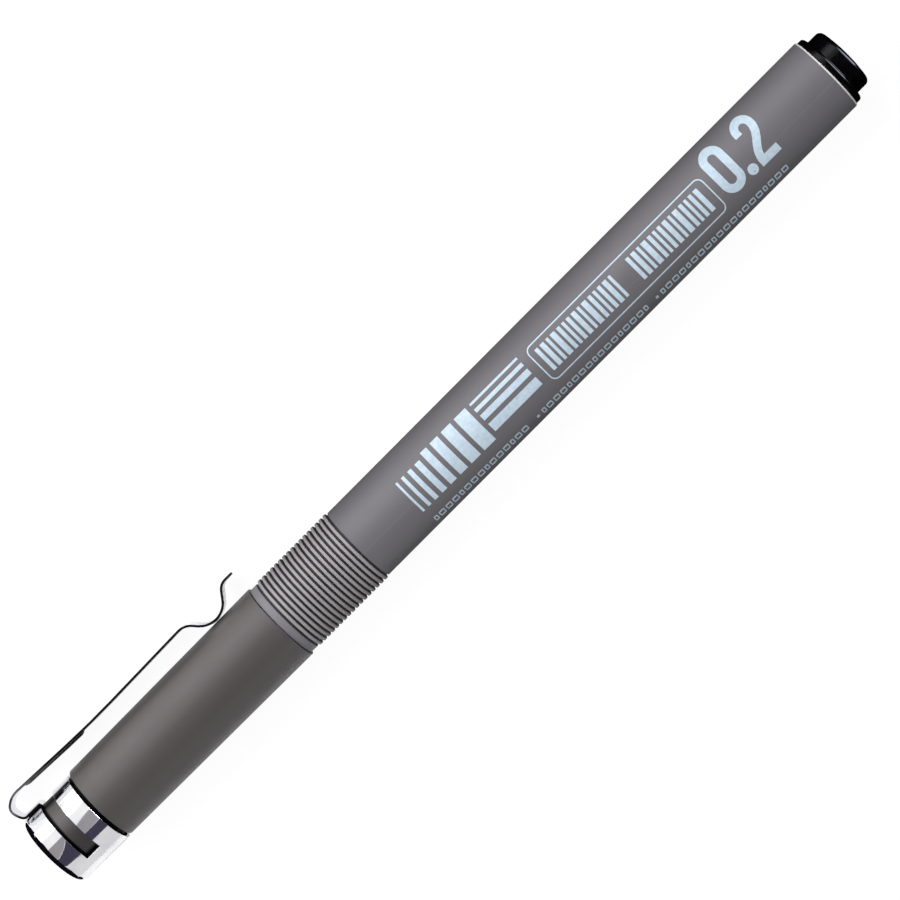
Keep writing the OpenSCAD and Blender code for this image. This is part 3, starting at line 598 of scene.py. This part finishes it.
tube_outline = fillet(
    [(Z_NEEDLE - NEEDLE_SHANK_L, NEEDLE_BORE_R), (Z_NEEDLE - NEEDLE_SHANK_L, NEEDLE_R),
     (Z_MOUTH - 0.3, NEEDLE_R, 0.25), (Z_MOUTH, NEEDLE_R - 0.1, 0.05), (Z_MOUTH, NEEDLE_BORE_R)],
    closed=True)
piece("needle", *turned(tube_outline, 64), "pen", [collar_steel], "steel", ["needle_tube"])

nib_outline = fillet(
    [(Z_POINT - NIB_L, 0), (Z_POINT - NIB_L, NIB_R), (Z_POINT, NIB_R, 0.22), (Z_POINT, 0)],
    closed=True)
piece("nib_point", *turned(nib_outline, 48), "pen", [nib_plastic], "nib_core", ["nib"])

# ---------------------------------------------------------------- cap

cap_outline = fillet(
    [(Z_CAP_RIM, CAP_BORE_R, 0.08), (Z_CAP_RIM, CAP_RIM_R, 0.07), (Z_CAP_SHOULDER, CAP_SHOULDER_R, 0.25),
     (Z_CAP_SHOULDER, STUB_R, 0.05), (Z_CAP_END, STUB_R, 0.7), (Z_CAP_END, 0), (Z_HOLLOW_END, 0),
     (Z_HOLLOW_END, HOLLOW_R), (Z_POCKET_END, HOLLOW_R), (Z_POCKET_END, POCKET_R), (Z_SEAL, POCKET_R),
     (Z_SEAL - 0.6, CAP_BORE_R)],
    closed=True)
piece("cap_body", *turned(cap_outline, 192), "cap", [cap_plastic], "cap_plastic", ["cap_shell"])

sleeve_outline = fillet(
    [(Z_SEAL + 0.3, SLEEVE_BORE_R, 0.1), (Z_SEAL + 0.3, SLEEVE_R, 0.2), (Z_SLEEVE_END, SLEEVE_R, 0.5),
     (Z_SLEEVE_END, 0), (Z_SLEEVE_FLOOR, 0), (Z_SLEEVE_FLOOR, SLEEVE_BORE_R, 0.5)],
    closed=True)
piece("sleeve", *turned(sleeve_outline, 96), "sleeve", [sleeve_plastic], "natural_plastic", ["inner_sleeve"])


def cup_mesh():
    """The drawn cup as a single skin, with its slot left open round all but 94 degrees of the skirt."""
    rim_r = CUP_R - CUP_ROUND
    outside = fillet([(Z_CUP_RIM, CUP_R), (Z_CUP_EDGE, CUP_R, CUP_ROUND), (Z_CUP_EDGE, 0)], step=9)[1:-1]
    skirt = [(z, CUP_R) for z in (Z_CUP_RIM + 0.05, Z_CUP_RIM + 0.1, Z_SLOT - 0.03, Z_SLOT, Z_SLOT_END,
                                  Z_SLOT_END + 0.03, Z_CUP_EDGE - CUP_ROUND - 0.03)]
    crown = [(Z_CUP_EDGE + CROWN_H * (1 - q * q), q * rim_r) for q in (0.85, 0.7, 0.55, 0.4, 0.25, 0.1)]
    rows = [(Z_CUP_RIM, CUP_R - 0.04)] + skirt + outside + crown + [(PEN_L, 0)]
    in_opening, in_bridge = 120, 43
    angles = list(np.radians(np.linspace(-SLOT_HALF_ANGLE, SLOT_HALF_ANGLE, in_opening)))
    angles += list(np.radians(np.linspace(SLOT_HALF_ANGLE, 360 - SLOT_HALF_ANGLE, in_bridge)))[1:-1]
    sides = len(angles)
    points, faces = [], []
    for z, r in rows[:-1]:
        points += [(r * math.cos(a), r * math.sin(a), z) for a in angles]
    points.append((0, 0, PEN_L))
    points = [(x - CUP_OFF_CENTRE, y, z) for x, y, z in points]
    for i in range(len(rows) - 1):
        in_slot = rows[i][0] == Z_SLOT
        for k in range(sides):
            if in_slot and k < in_opening - 1:
                continue
            j = (k + 1) % sides
            if i == len(rows) - 2:
                faces.append((i * sides + k, i * sides + j, len(points) - 1))
            else:
                faces.append((i * sides + k, i * sides + j, (i + 1) * sides + j, (i + 1) * sides + k))
    return points, faces


cup = piece("metal_cup", *cup_mesh(), "cap", [cup_sheet], "chrome", ["end_cup"])
# The skin gets the sheet's thickness, and its cut edges are broken by a small bevel.
sheet = cup.modifiers.new("sheet", "SOLIDIFY")
sheet.thickness = SHEET_T * MM
sheet.offset = -1
edge = cup.modifiers.new("edge", "BEVEL")
edge.width = 0.05 * MM
edge.segments = 2
edge.limit_method = "ANGLE"
edge.angle_limit = math.radians(50)
bpy.context.view_layer.update()
cup_sheet_mesh = bpy.data.meshes.new_from_object(cup.evaluated_get(bpy.context.evaluated_depsgraph_get()))
cup.modifiers.clear()
cup.data = cup_sheet_mesh
cup_sheet_mesh.set_sharp_from_angle(angle=math.radians(25))

# ---------------------------------------------------------------- clip

# Heights are those of the strip's centre line over the pen's axis, and z is its place along the pen.
HALF_T = SHEET_T / 2
FOOT_H = CUP_R - CUP_OFF_CENTRE + 0.07 + HALF_T
Z_BEND = Z_CUP_EDGE - HALF_T - 0.05
Z_LEAVE = Z_BEND - 0.656
LEAN_H = 5.974
BEND_MID_H = 6.565
EAVE_H = 7.158
EAVE_BACK = 1.454
ARM_H = 8.165
ARM_FALL = 0.04302
Z_BOW, BOW_H = 120.185, 7.55
Z_BROW, BROW_H = 103.76, 7.89
Z_TOUCH, TOUCH_H = 100.468, 3.9665
Z_LIFT, Z_TIP, TIP_H = 97.233, 95.485, 8.26
TONGUE_L = 1.25

FOOT_HALF_W = 1.7
ARM_HALF_W = 2.2
TIP_R = 1.8
TIP_END_HALF_W = 0.35
Z_TIP_ROUND = Z_TIP + TIP_R

BEAD_DEPTH = 0.28
BEAD_HALF_W = 0.75
BEAD_FROM, BEAD_TO = 2.63, 13.2
Z_DIMPLE = 101.1
DIMPLE_DEPTH = 0.08
DIMPLE_HALF_L, DIMPLE_HALF_W = 1.2, 1.1
# The faces of each ring that lie under the bead and the dimple. They get the dark edge finish as painted
# shade.
UNDER = (3, 14)


def clip_path():
    """Centre line (z, height) of the strip, from its tongue under the cup to its free end."""
    gap = 0.02
    hook_z = Z_SLOT_END - gap - HALF_T
    tongue_h = CUP_R - CUP_OFF_CENTRE - SHEET_T - gap - HALF_T
    knots = [(Z_SLOT_END + TONGUE_L, tongue_h), (hook_z, tongue_h, 0.2), (hook_z, FOOT_H, 0.2),
             (Z_LEAVE, FOOT_H, 0.6), (Z_BEND, LEAN_H, 1.5), (Z_BEND, EAVE_H, 1.04),
             (Z_BEND - EAVE_BACK, ARM_H - EAVE_BACK * ARM_FALL, 3.04), (Z_BOW, BOW_H, 120),
             (Z_BROW, BROW_H, 2.2), (Z_TOUCH, TOUCH_H, 2.778), (Z_LIFT, TIP_H, 1.6), (Z_TIP, TIP_H)]
    path = np.array(fillet(knots, step=6))
    keep = np.concatenate([[True], np.linalg.norm(np.diff(path, axis=0), axis=1) > 1e-4])
    path = path[keep]
    run = np.concatenate([[0], np.cumsum(np.linalg.norm(np.diff(path, axis=0), axis=1))])
    spacing = 0.2
    steps = np.linspace(0, run[-1], int(run[-1] / spacing))
    return np.stack([np.interp(steps, run, path[:, 0]), np.interp(steps, run, path[:, 1])], axis=1)


def smooth(x):
    """0 up to 0 and 1 from 1 on, with a smooth rise between."""
    x = np.clip(x, 0, 1)
    return x * x * (3 - 2 * x)


def clip_mesh():
    """The strip as rings of points round its section, and which faces get the edge finish: its cut edges, and
    the faces under the bead and the dimple, where it is painted shade.
    """
    path = clip_path()
    away = np.gradient(path, axis=0)
    away = np.stack([-away[:, 1], away[:, 0]], axis=1)
    away /= np.linalg.norm(away, axis=1)[:, None]
    bend_top = int(np.argmax(path[:, 0]))
    out_from_middle = [0.1, 0.18, 0.26, 0.34, 0.42, 0.6, 0.8, 0.97, 1]
    cuts = [-c for c in out_from_middle[::-1]] + [0] + out_from_middle
    points, rings = [], []
    for i, (z, h) in enumerate(path):
        arm = i > bend_top and h > BEND_MID_H
        half_w = FOOT_HALF_W
        if arm:
            half_w = FOOT_HALF_W + (ARM_HALF_W - FOOT_HALF_W) * smooth((Z_BEND - z) / EAVE_BACK)
            if z < Z_BOW:
                half_w = ARM_HALF_W - (ARM_HALF_W - TIP_R) * (Z_BOW - z) / (Z_BOW - Z_TIP_ROUND)
            past = Z_TIP_ROUND - z
            if past > 0:
                half_w = math.sqrt(max(TIP_R ** 2 - past ** 2, TIP_END_HALF_W ** 2))
        hollow = dimple = 0.0
        if arm and z > Z_BOW:
            along = Z_BEND - z
            hollow = BEAD_DEPTH * smooth((along - BEAD_FROM) / 1.2) * smooth((BEAD_TO - along) / 0.8)
        elif abs(z - Z_DIMPLE) < DIMPLE_HALF_L:
            dimple = DIMPLE_DEPTH * (1 - smooth(abs(z - Z_DIMPLE) / DIMPLE_HALF_L))
        # The foot is curved like the cup that it lies on. The bend flattens it out.
        by_cup = z > Z_CAP_SHOULDER and h < EAVE_H
        bent_round = 1 - smooth((h - FOOT_H) / 0.8) if by_cup else 0
        ring = []
        for side in (1, -1):
            for c in (cuts if side > 0 else cuts[::-1]):
                w = c * half_w
                thick = HALF_T * (0.75 if abs(c) == 1 else 1)
                sink = (hollow * (math.cos(math.pi * min(abs(w) / BEAD_HALF_W, 1)) + 1) / 2
                        + dimple * (math.cos(math.pi * min(abs(w) / DIMPLE_HALF_W, 1)) + 1) / 2)
                pz = z + away[i, 0] * (thick * side)
                ph = h + away[i, 1] * (thick * side) - sink
                a = w / CUP_R
                x = ph * math.cos(a) * bent_round + ph * (1 - bent_round)
                y = ph * math.sin(a) * bent_round + w * (1 - bent_round)
                ring.append((x, y, pz))
        pressed = hollow > 0.1 or dimple > 0.02
        rings.append((range(len(points), len(points) + len(ring)), pressed))
        points += ring
    faces, cut_edge_and_shade = [], []
    last = len(cuts) - 1
    for (low, pressed), (high, _) in zip(rings, rings[1:]):
        n = len(low)
        for k in range(n):
            j = (k + 1) % n
            faces.append((low[k], high[k], high[j], low[j]))
            # The faces under the bead and the dimple get the dark edge finish as painted shade.
            under_bead = pressed and UNDER[0] < k < UNDER[1]
            cut_edge_and_shade.append(1 if under_bead or k in (0, last - 1, last, last + 1, n - 2, n - 1) else 0)
    faces += [tuple(rings[0][0]), tuple(rings[-1][0])[::-1]]
    cut_edge_and_shade += [1, 1]
    return points, faces, cut_edge_and_shade


clip_points, clip_faces, cut_edge_and_shade = clip_mesh()
clip = piece("clip_strip", clip_points, clip_faces, None, [clip_strip_steel, clip_edge_and_shade_steel], "chrome",
             ["clip_foot", "clip_arm"], 50, cut_edge_and_shade)
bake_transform(clip)

# ---------------------------------------------------------------- print on the barrel

PRINT_R = BARREL_R + 0.012


class Print:
    """Flat ink marks, drawn as (z, height over the axis as seen) and wrapped round the barrel."""

    def __init__(self):
        self.points, self.faces = [], []

    def point(self, z, t):
        """Adds a point and gives its number."""
        a = math.asin(max(-1, min(1, t / PRINT_R))) - math.pi / 2
        self.points.append((PRINT_R * math.cos(a), PRINT_R * math.sin(a), z))
        return len(self.points) - 1

    def line(self, path, width, closed=False, step=0.25):
        """A stroke of even width through (z, t) points."""
        path = [np.array(p, float) for p in path]
        if closed:
            path.append(path[0])
        fine = [path[0]]
        for p, q in zip(path, path[1:]):
            n = max(1, math.ceil(np.linalg.norm(q - p) / step))
            fine += [p + (q - p) * k / n for k in range(1, n + 1)]
        fine = np.array(fine)
        if closed:
            ahead = np.roll(fine[:-1], -1, axis=0) - np.roll(fine[:-1], 1, axis=0)
            ahead = np.vstack([ahead, ahead[:1]])
        else:
            ahead = np.gradient(fine, axis=0)
        ahead /= np.linalg.norm(ahead, axis=1)[:, None]
        side = np.stack([-ahead[:, 1], ahead[:, 0]], axis=1) * width / 2
        across = np.linspace(-1, 1, 2 + int(width / 0.25))
        rows = [[self.point(*(p + s * q)) for q in across] for p, s in zip(fine, side)]
        for low, high in zip(rows, rows[1:]):
            for a, b, c, d in zip(low, low[1:], high[1:], high):
                self.faces.append((a, d, c, b))

    def bar(self, z0, z1, t0, t1, step=0.4):
        """A filled rectangle."""
        n = max(1, math.ceil(abs(t1 - t0) / step))
        heights = [t0 + (t1 - t0) * k / n for k in range(n + 1)]
        rows = [(self.point(z0, t), self.point(z1, t)) for t in heights]
        for (a, b), (c, d) in zip(rows, rows[1:]):
            self.faces.append((a, b, d, c))

    def dot(self, z, t, r):
        """A filled round spot."""
        middle = self.point(z, t)
        ring = [self.point(*p) for p in arc_points(z, t, r, r, 0, 360, 33)[:-1]]
        for a, b in zip(ring, ring[1:] + ring[:1]):
            self.faces.append((middle, b, a))


def arc_points(z, t, rz, rt, start, end, n):
    """n points (z, t) on an oval round (z, t), from the angle start to the angle end in degrees."""
    return [(z + rz * math.cos(a), t + rt * math.sin(a)) for a in np.radians(np.linspace(start, end, n))]


def print_line_weights(marks):
    """Bars from thin to thick across the pen, read from the cap end, then four along it."""
    z, gap = 73.7, 0.62
    for weight in (0.3, 0.45, 0.6, 0.8, 1.0, 1.25, 1.55, 1.9):
        marks.bar(z - weight, z, -2.8, 1.9 if weight < 1 else 2.4)
        z -= weight + gap
    for weight, t in ((0.3, 2.2), (0.5, 1.25), (0.8, 0.1), (1.2, -1.5)):
        marks.bar(53.0, z, t - weight / 2, t + weight / 2)


def print_swatches(marks):
    """A rounded frame round two rows of line-weight swatches."""
    corner_r, gap = 0.8, 0.34
    frame_path = []
    for z, t, start in ((50.94, 1.37, 0), (23.68, 1.37, 90), (23.68, -2.12, 180), (50.94, -2.12, 270)):
        frame_path += arc_points(z, t, corner_r, corner_r, start, start + 90, 7)
    marks.line(frame_path, 0.16, closed=True)
    for z, end in ((50.9, 37.9), (35.8, 23.7)):
        i = 0
        while z > end + 0.5:
            weight = (0.5, 0.62, 0.4, 0.72, 0.5, 0.4)[i % 6]
            marks.bar(z - weight, z, -1.95, 1.4)
            z -= weight + gap
            i += 1


def print_width(marks):
    """The width of the line that the pen draws, in mm, as plain digits."""
    stroke = 1.04
    oval = arc_points(20.23, 2.45, 1.11, 1.07, 180, 0, 16) + arc_points(20.23, -0.9, 1.11, 1.05, 0, -180, 16)
    marks.line(oval, stroke, closed=True)
    marks.dot(17.66, -1.8, 0.68)
    tail = [(14.05, 1.95), (14.28, 1.3), (14.75, 0.6), (15.3, -0.05), (15.75, -0.7), (16.0, -1.35),
            (16.05, -1.9)]
    marks.line([(16.15, 2.03), (16.15, 2.3)] + arc_points(15.09, 2.43, 1.06, 1.1, 0, 180, 22) + tail, 1.0)
    marks.bar(13.56, 16.56, -1.43 - stroke, -1.43)


def print_boxes(marks):
    """A row of small open boxes under the rest, in three groups with a spot between them."""
    gap = 0.42
    for end, z in ((56.9, 73.4), (36.9, 55.3), (13.4, 35.4)):
        i = 0
        while z > end + 0.9:
            w = 0.72 if i % 4 else 0.42
            marks.line([(z, -4.66), (z - w, -4.66), (z - w, -4.2), (z, -4.2)], 0.17, closed=True)
            z -= w + gap
            i += 1
    for z in (56.1, 36.19):
        marks.bar(z - 0.2, z + 0.2, -4.6, -4.3)


marks = Print()
print_line_weights(marks)
print_swatches(marks)
print_width(marks)
print_boxes(marks)
piece("line_width_print", marks.points, marks.faces, "pen", [print_ink], "barrel_plastic")

# ---------------------------------------------------------------- pieces inside, from the model

for node, finish in (("ink_feeder", fibre), ("reservoir_fibre", fibre), ("reservoir_film", sleeve_plastic)):
    for slot in frame["nodes"][node].material_slots:
        slot.material = finish

# ---------------------------------------------------------------- table, light and camera

Z_AIM = 66.53
CARD_LIFT = 0.0001
middle = AXIS_START + ALONG * Z_AIM * MM


def from_middle(angle, distance, along=0.0):
    """A place seen from the pen, angle degrees from the camera towards the clip's side."""
    a = math.radians(angle)
    return middle + (TO_CAMERA * math.cos(a) + TO_CLIP * math.sin(a)) * distance + ALONG * along


def sheet_in_studio(name, points, faces, finish):
    """A sheet that isn't part of the object."""
    mesh = bpy.data.meshes.new(name)
    mesh.from_pydata([tuple(p) for p in points], [], faces)
    mesh.materials.append(finish)
    made = bpy.data.objects.new(name, mesh)
    bpy.context.scene.collection.objects.link(made)
    return made


def mirror_card(name, points, colour, strength=1.0, faces=None):
    """A card outside the picture that only shows as a reflection."""
    finish, tree = new_finish(name)
    glow = add(tree, "ShaderNodeEmission", {"Color": linear(colour), "Strength": strength})
    add(tree, "ShaderNodeOutputMaterial", {"Surface": glow.outputs[0]})
    made = sheet_in_studio(name, points, faces or [range(len(points))], finish)
    made.visible_camera = made.visible_diffuse = made.visible_shadow = False
    return made


def facing_pen(angle, distance, length, height, along=0.0):
    """Corners of a card that faces the pen, length along it and height across."""
    a = math.radians(angle)
    centre = from_middle(angle, distance, along)
    upright = (TO_CLIP * math.cos(a) - TO_CAMERA * math.sin(a)) * height / 2
    return [centre + ALONG * u * length / 2 + upright * v for u, v in ((-1, -1), (1, -1), (1, 1), (-1, 1))]


def on_table(x0, x1, y0, y1):
    """Corners of a card on the table."""
    return [(x0, y0, CARD_LIFT), (x1, y0, CARD_LIFT), (x1, y1, CARD_LIFT), (x0, y1, CARD_LIFT)]


def past_end(x, y0, y1, top):
    """Corners of a card that stands on the table past an end of the pen."""
    return [(x, y0, 0), (x, y1, 0), (x, y1, top), (x, y0, top)]


def white_laminate():
    """White laminate: reads as pure white, keeps a soft shadow, and is seen with it in reflections."""
    made, tree = new_finish("white laminate")
    path = add(tree, "ShaderNodeLightPath")
    seen = add(tree, "ShaderNodeMath", {0: path.outputs["Is Camera Ray"],
                                        1: path.outputs["Is Transmission Ray"]}, operation="MAXIMUM")
    matt = add(tree, "ShaderNodeBsdfDiffuse", {"Color": linear("#707070")})
    glow = add(tree, "ShaderNodeEmission", {"Color": linear("#ffffff"), "Strength": 0.935})
    picture = add(tree, "ShaderNodeAddShader", {0: matt.outputs[0], 1: glow.outputs[0]})
    white = add(tree, "ShaderNodeBsdfDiffuse", {"Color": linear("#ffffff")})
    dim_glow = add(tree, "ShaderNodeEmission", {"Color": linear("#ffffff"), "Strength": 0.25})
    shine = add(tree, "ShaderNodeAddShader", {0: white.outputs[0], 1: dim_glow.outputs[0]})
    mirrored = add(tree, "ShaderNodeMixShader", {0: path.outputs["Is Glossy Ray"], 1: matt.outputs[0],
                                                 2: shine.outputs[0]})
    choice = add(tree, "ShaderNodeMixShader", {0: seen.outputs[0], 1: mirrored.outputs[0],
                                               2: picture.outputs[0]})
    add(tree, "ShaderNodeOutputMaterial", {"Surface": choice.outputs[0]})
    return made


sheet_in_studio("table", [(-3, -3, 0), (3, -3, 0), (3, 3, 0), (-3, 3, 0)], [(0, 1, 2, 3)],
                white_laminate()).location.z = -0.00002

mirror_card("dark_flag", facing_pen(-40, 0.35, 0.9, 0.19), "#423f50")
mirror_card("grey_board", facing_pen(-6, 0.60, 1.2, 0.39), "#9c9a9e")
mirror_card("low_window", facing_pen(50, 0.8, 1.1, 0.3, -0.1), "#f2f4ff", 2.4)
mirror_card("cap_window", facing_pen(58, 0.5, 0.3, 0.12, 0.12), "#ffffff", 4.0)
mirror_card("cap_mat", on_table(0.03, 0.066, -0.15, -0.02), "#ffffff", 2.4)
mirror_card("end_wall", past_end(0.103, -0.07, 0.07, 0.058), "#0b0b12")
# Only as wide as the rounding of the cup's end needs, so that the rest of the cup mirrors the table.
mirror_card("end_mat", [(x, y, CARD_LIFT) for x, y in (
    (0.0688, -0.006), (0.0765, -0.036), (0.103, -0.036), (0.103, 0.07), (0.085, 0.062), (0.0688, 0.006))],
    "#0b0b12")
mirror_card("cup_mat", on_table(0.058, 0.0685, -0.03, -0.001), "#f4f4f4")
mirror_card("barrel_mat", on_table(-0.0645, 0.026, -0.03, 0.12), "#0e0e0e")
mirror_card("back_flag", [(x, 0.12, z) for x, z in ((-0.2, 0), (0.026, 0), (0.026, 0.1), (-0.2, 0.1))],
            "#0e0e0e")
mirror_card("rear_mat", on_table(-0.2, -0.0645, -0.2, 0.2), "#040405")
mirror_card("rear_card", past_end(-0.2, -0.06, 0.06, 0.1), "#dfe4f8", 18.0)

# A dark hood round the plug, open towards the low window.
HOOD_R, HOOD_L = 0.08, 0.12
hood, strips = [], []
for k, a in enumerate(np.linspace(-116, 26, 13)):
    out_to = from_middle(a, HOOD_R) - middle
    hood += [AXIS_START + out_to + ALONG * MM, AXIS_START + out_to - ALONG * HOOD_L]
    if k:
        strips.append((2 * k - 2, 2 * k - 1, 2 * k + 1, 2 * k))
mirror_card("rear_hood", hood, "#040405", 1.0, strips)


def softbox(name, place, length, height, energy):
    """An area light that faces the pen and isn't mirrored in it."""
    lamp = bpy.data.lights.new(name, "AREA")
    lamp.shape = "RECTANGLE"
    lamp.size, lamp.size_y = length, height
    lamp.energy = energy
    box = bpy.data.objects.new(name, lamp)
    bpy.context.scene.collection.objects.link(box)
    facing = (place - middle).to_track_quat("Z", "Y")
    box.matrix_world = Matrix.Translation(place) @ facing.to_matrix().to_4x4()
    box.visible_glossy = False


softbox("key_softbox", from_middle(28, 0.6, 0.22), 0.8, 0.3, 4.8)
softbox("back_softbox", Vector((0, 0.5, 0.08)), 0.8, 0.12, 0.8)

world = bpy.data.worlds.new("white studio")
world.use_nodes = True
bpy.context.scene.world = world
tree = world.node_tree
tree.nodes.clear()
path = add(tree, "ShaderNodeLightPath")
direction = add(tree, "ShaderNodeSeparateXYZ", {0: add(tree, "ShaderNodeTexCoord").outputs["Generated"]})
behind = add(tree, "ShaderNodeMapRange", {"Value": direction.outputs["Y"], "From Min": -0.2, "From Max": 0.3,
                                          "To Min": 1.0, "To Max": 0.76})
lighting = add(tree, "ShaderNodeBackground", {"Color": linear("#ffffff"), "Strength": 0.22})
mirrored = add(tree, "ShaderNodeBackground", {"Color": linear("#ffffff"), "Strength": behind.outputs[0]})
shown = add(tree, "ShaderNodeBackground", {"Color": linear("#ffffff"), "Strength": 1.0})
seen = add(tree, "ShaderNodeMath", {0: path.outputs["Is Camera Ray"], 1: path.outputs["Is Transmission Ray"]},
           operation="MAXIMUM")
lit = add(tree, "ShaderNodeMixShader", {0: path.outputs["Is Glossy Ray"], 1: lighting.outputs[0],
                                        2: mirrored.outputs[0]})
choice = add(tree, "ShaderNodeMixShader", {0: seen.outputs[0], 1: lit.outputs[0], 2: shown.outputs[0]})
add(tree, "ShaderNodeOutputWorld", {"Surface": choice.outputs[0]})

# The camera looks square at the clip's edge, with the rear end a little nearer than the cap.
TILT = math.radians(3.196)
PICTURE_ANGLE = math.radians(45.10)
DISTANCE = 0.46146
LENS_MM = 154.5
AIM_OFF_AXIS = 0.14
aim = middle + TO_CLIP * AIM_OFF_AXIS * MM
to_rear = -ALONG
back = TO_CAMERA * math.cos(TILT) + to_rear * math.sin(TILT)
up_the_pen = to_rear * math.cos(TILT) - TO_CAMERA * math.sin(TILT)
right = up_the_pen * math.cos(PICTURE_ANGLE) - TO_CLIP * math.sin(PICTURE_ANGLE)
up = up_the_pen * math.sin(PICTURE_ANGLE) + TO_CLIP * math.cos(PICTURE_ANGLE)
camera_data = bpy.data.cameras.new("camera")
camera_data.sensor_width = 36
camera_data.lens = LENS_MM
camera_data.clip_start = 0.01
camera = bpy.data.objects.new("camera", camera_data)
bpy.context.scene.collection.objects.link(camera)
camera.matrix_world = Matrix.Translation(aim + back * DISTANCE) @ Matrix([
    (right[i], up[i], back[i]) for i in range(3)]).to_4x4()
bpy.context.scene.camera = camera
bpy.context.scene.view_settings.view_transform = "Standard"
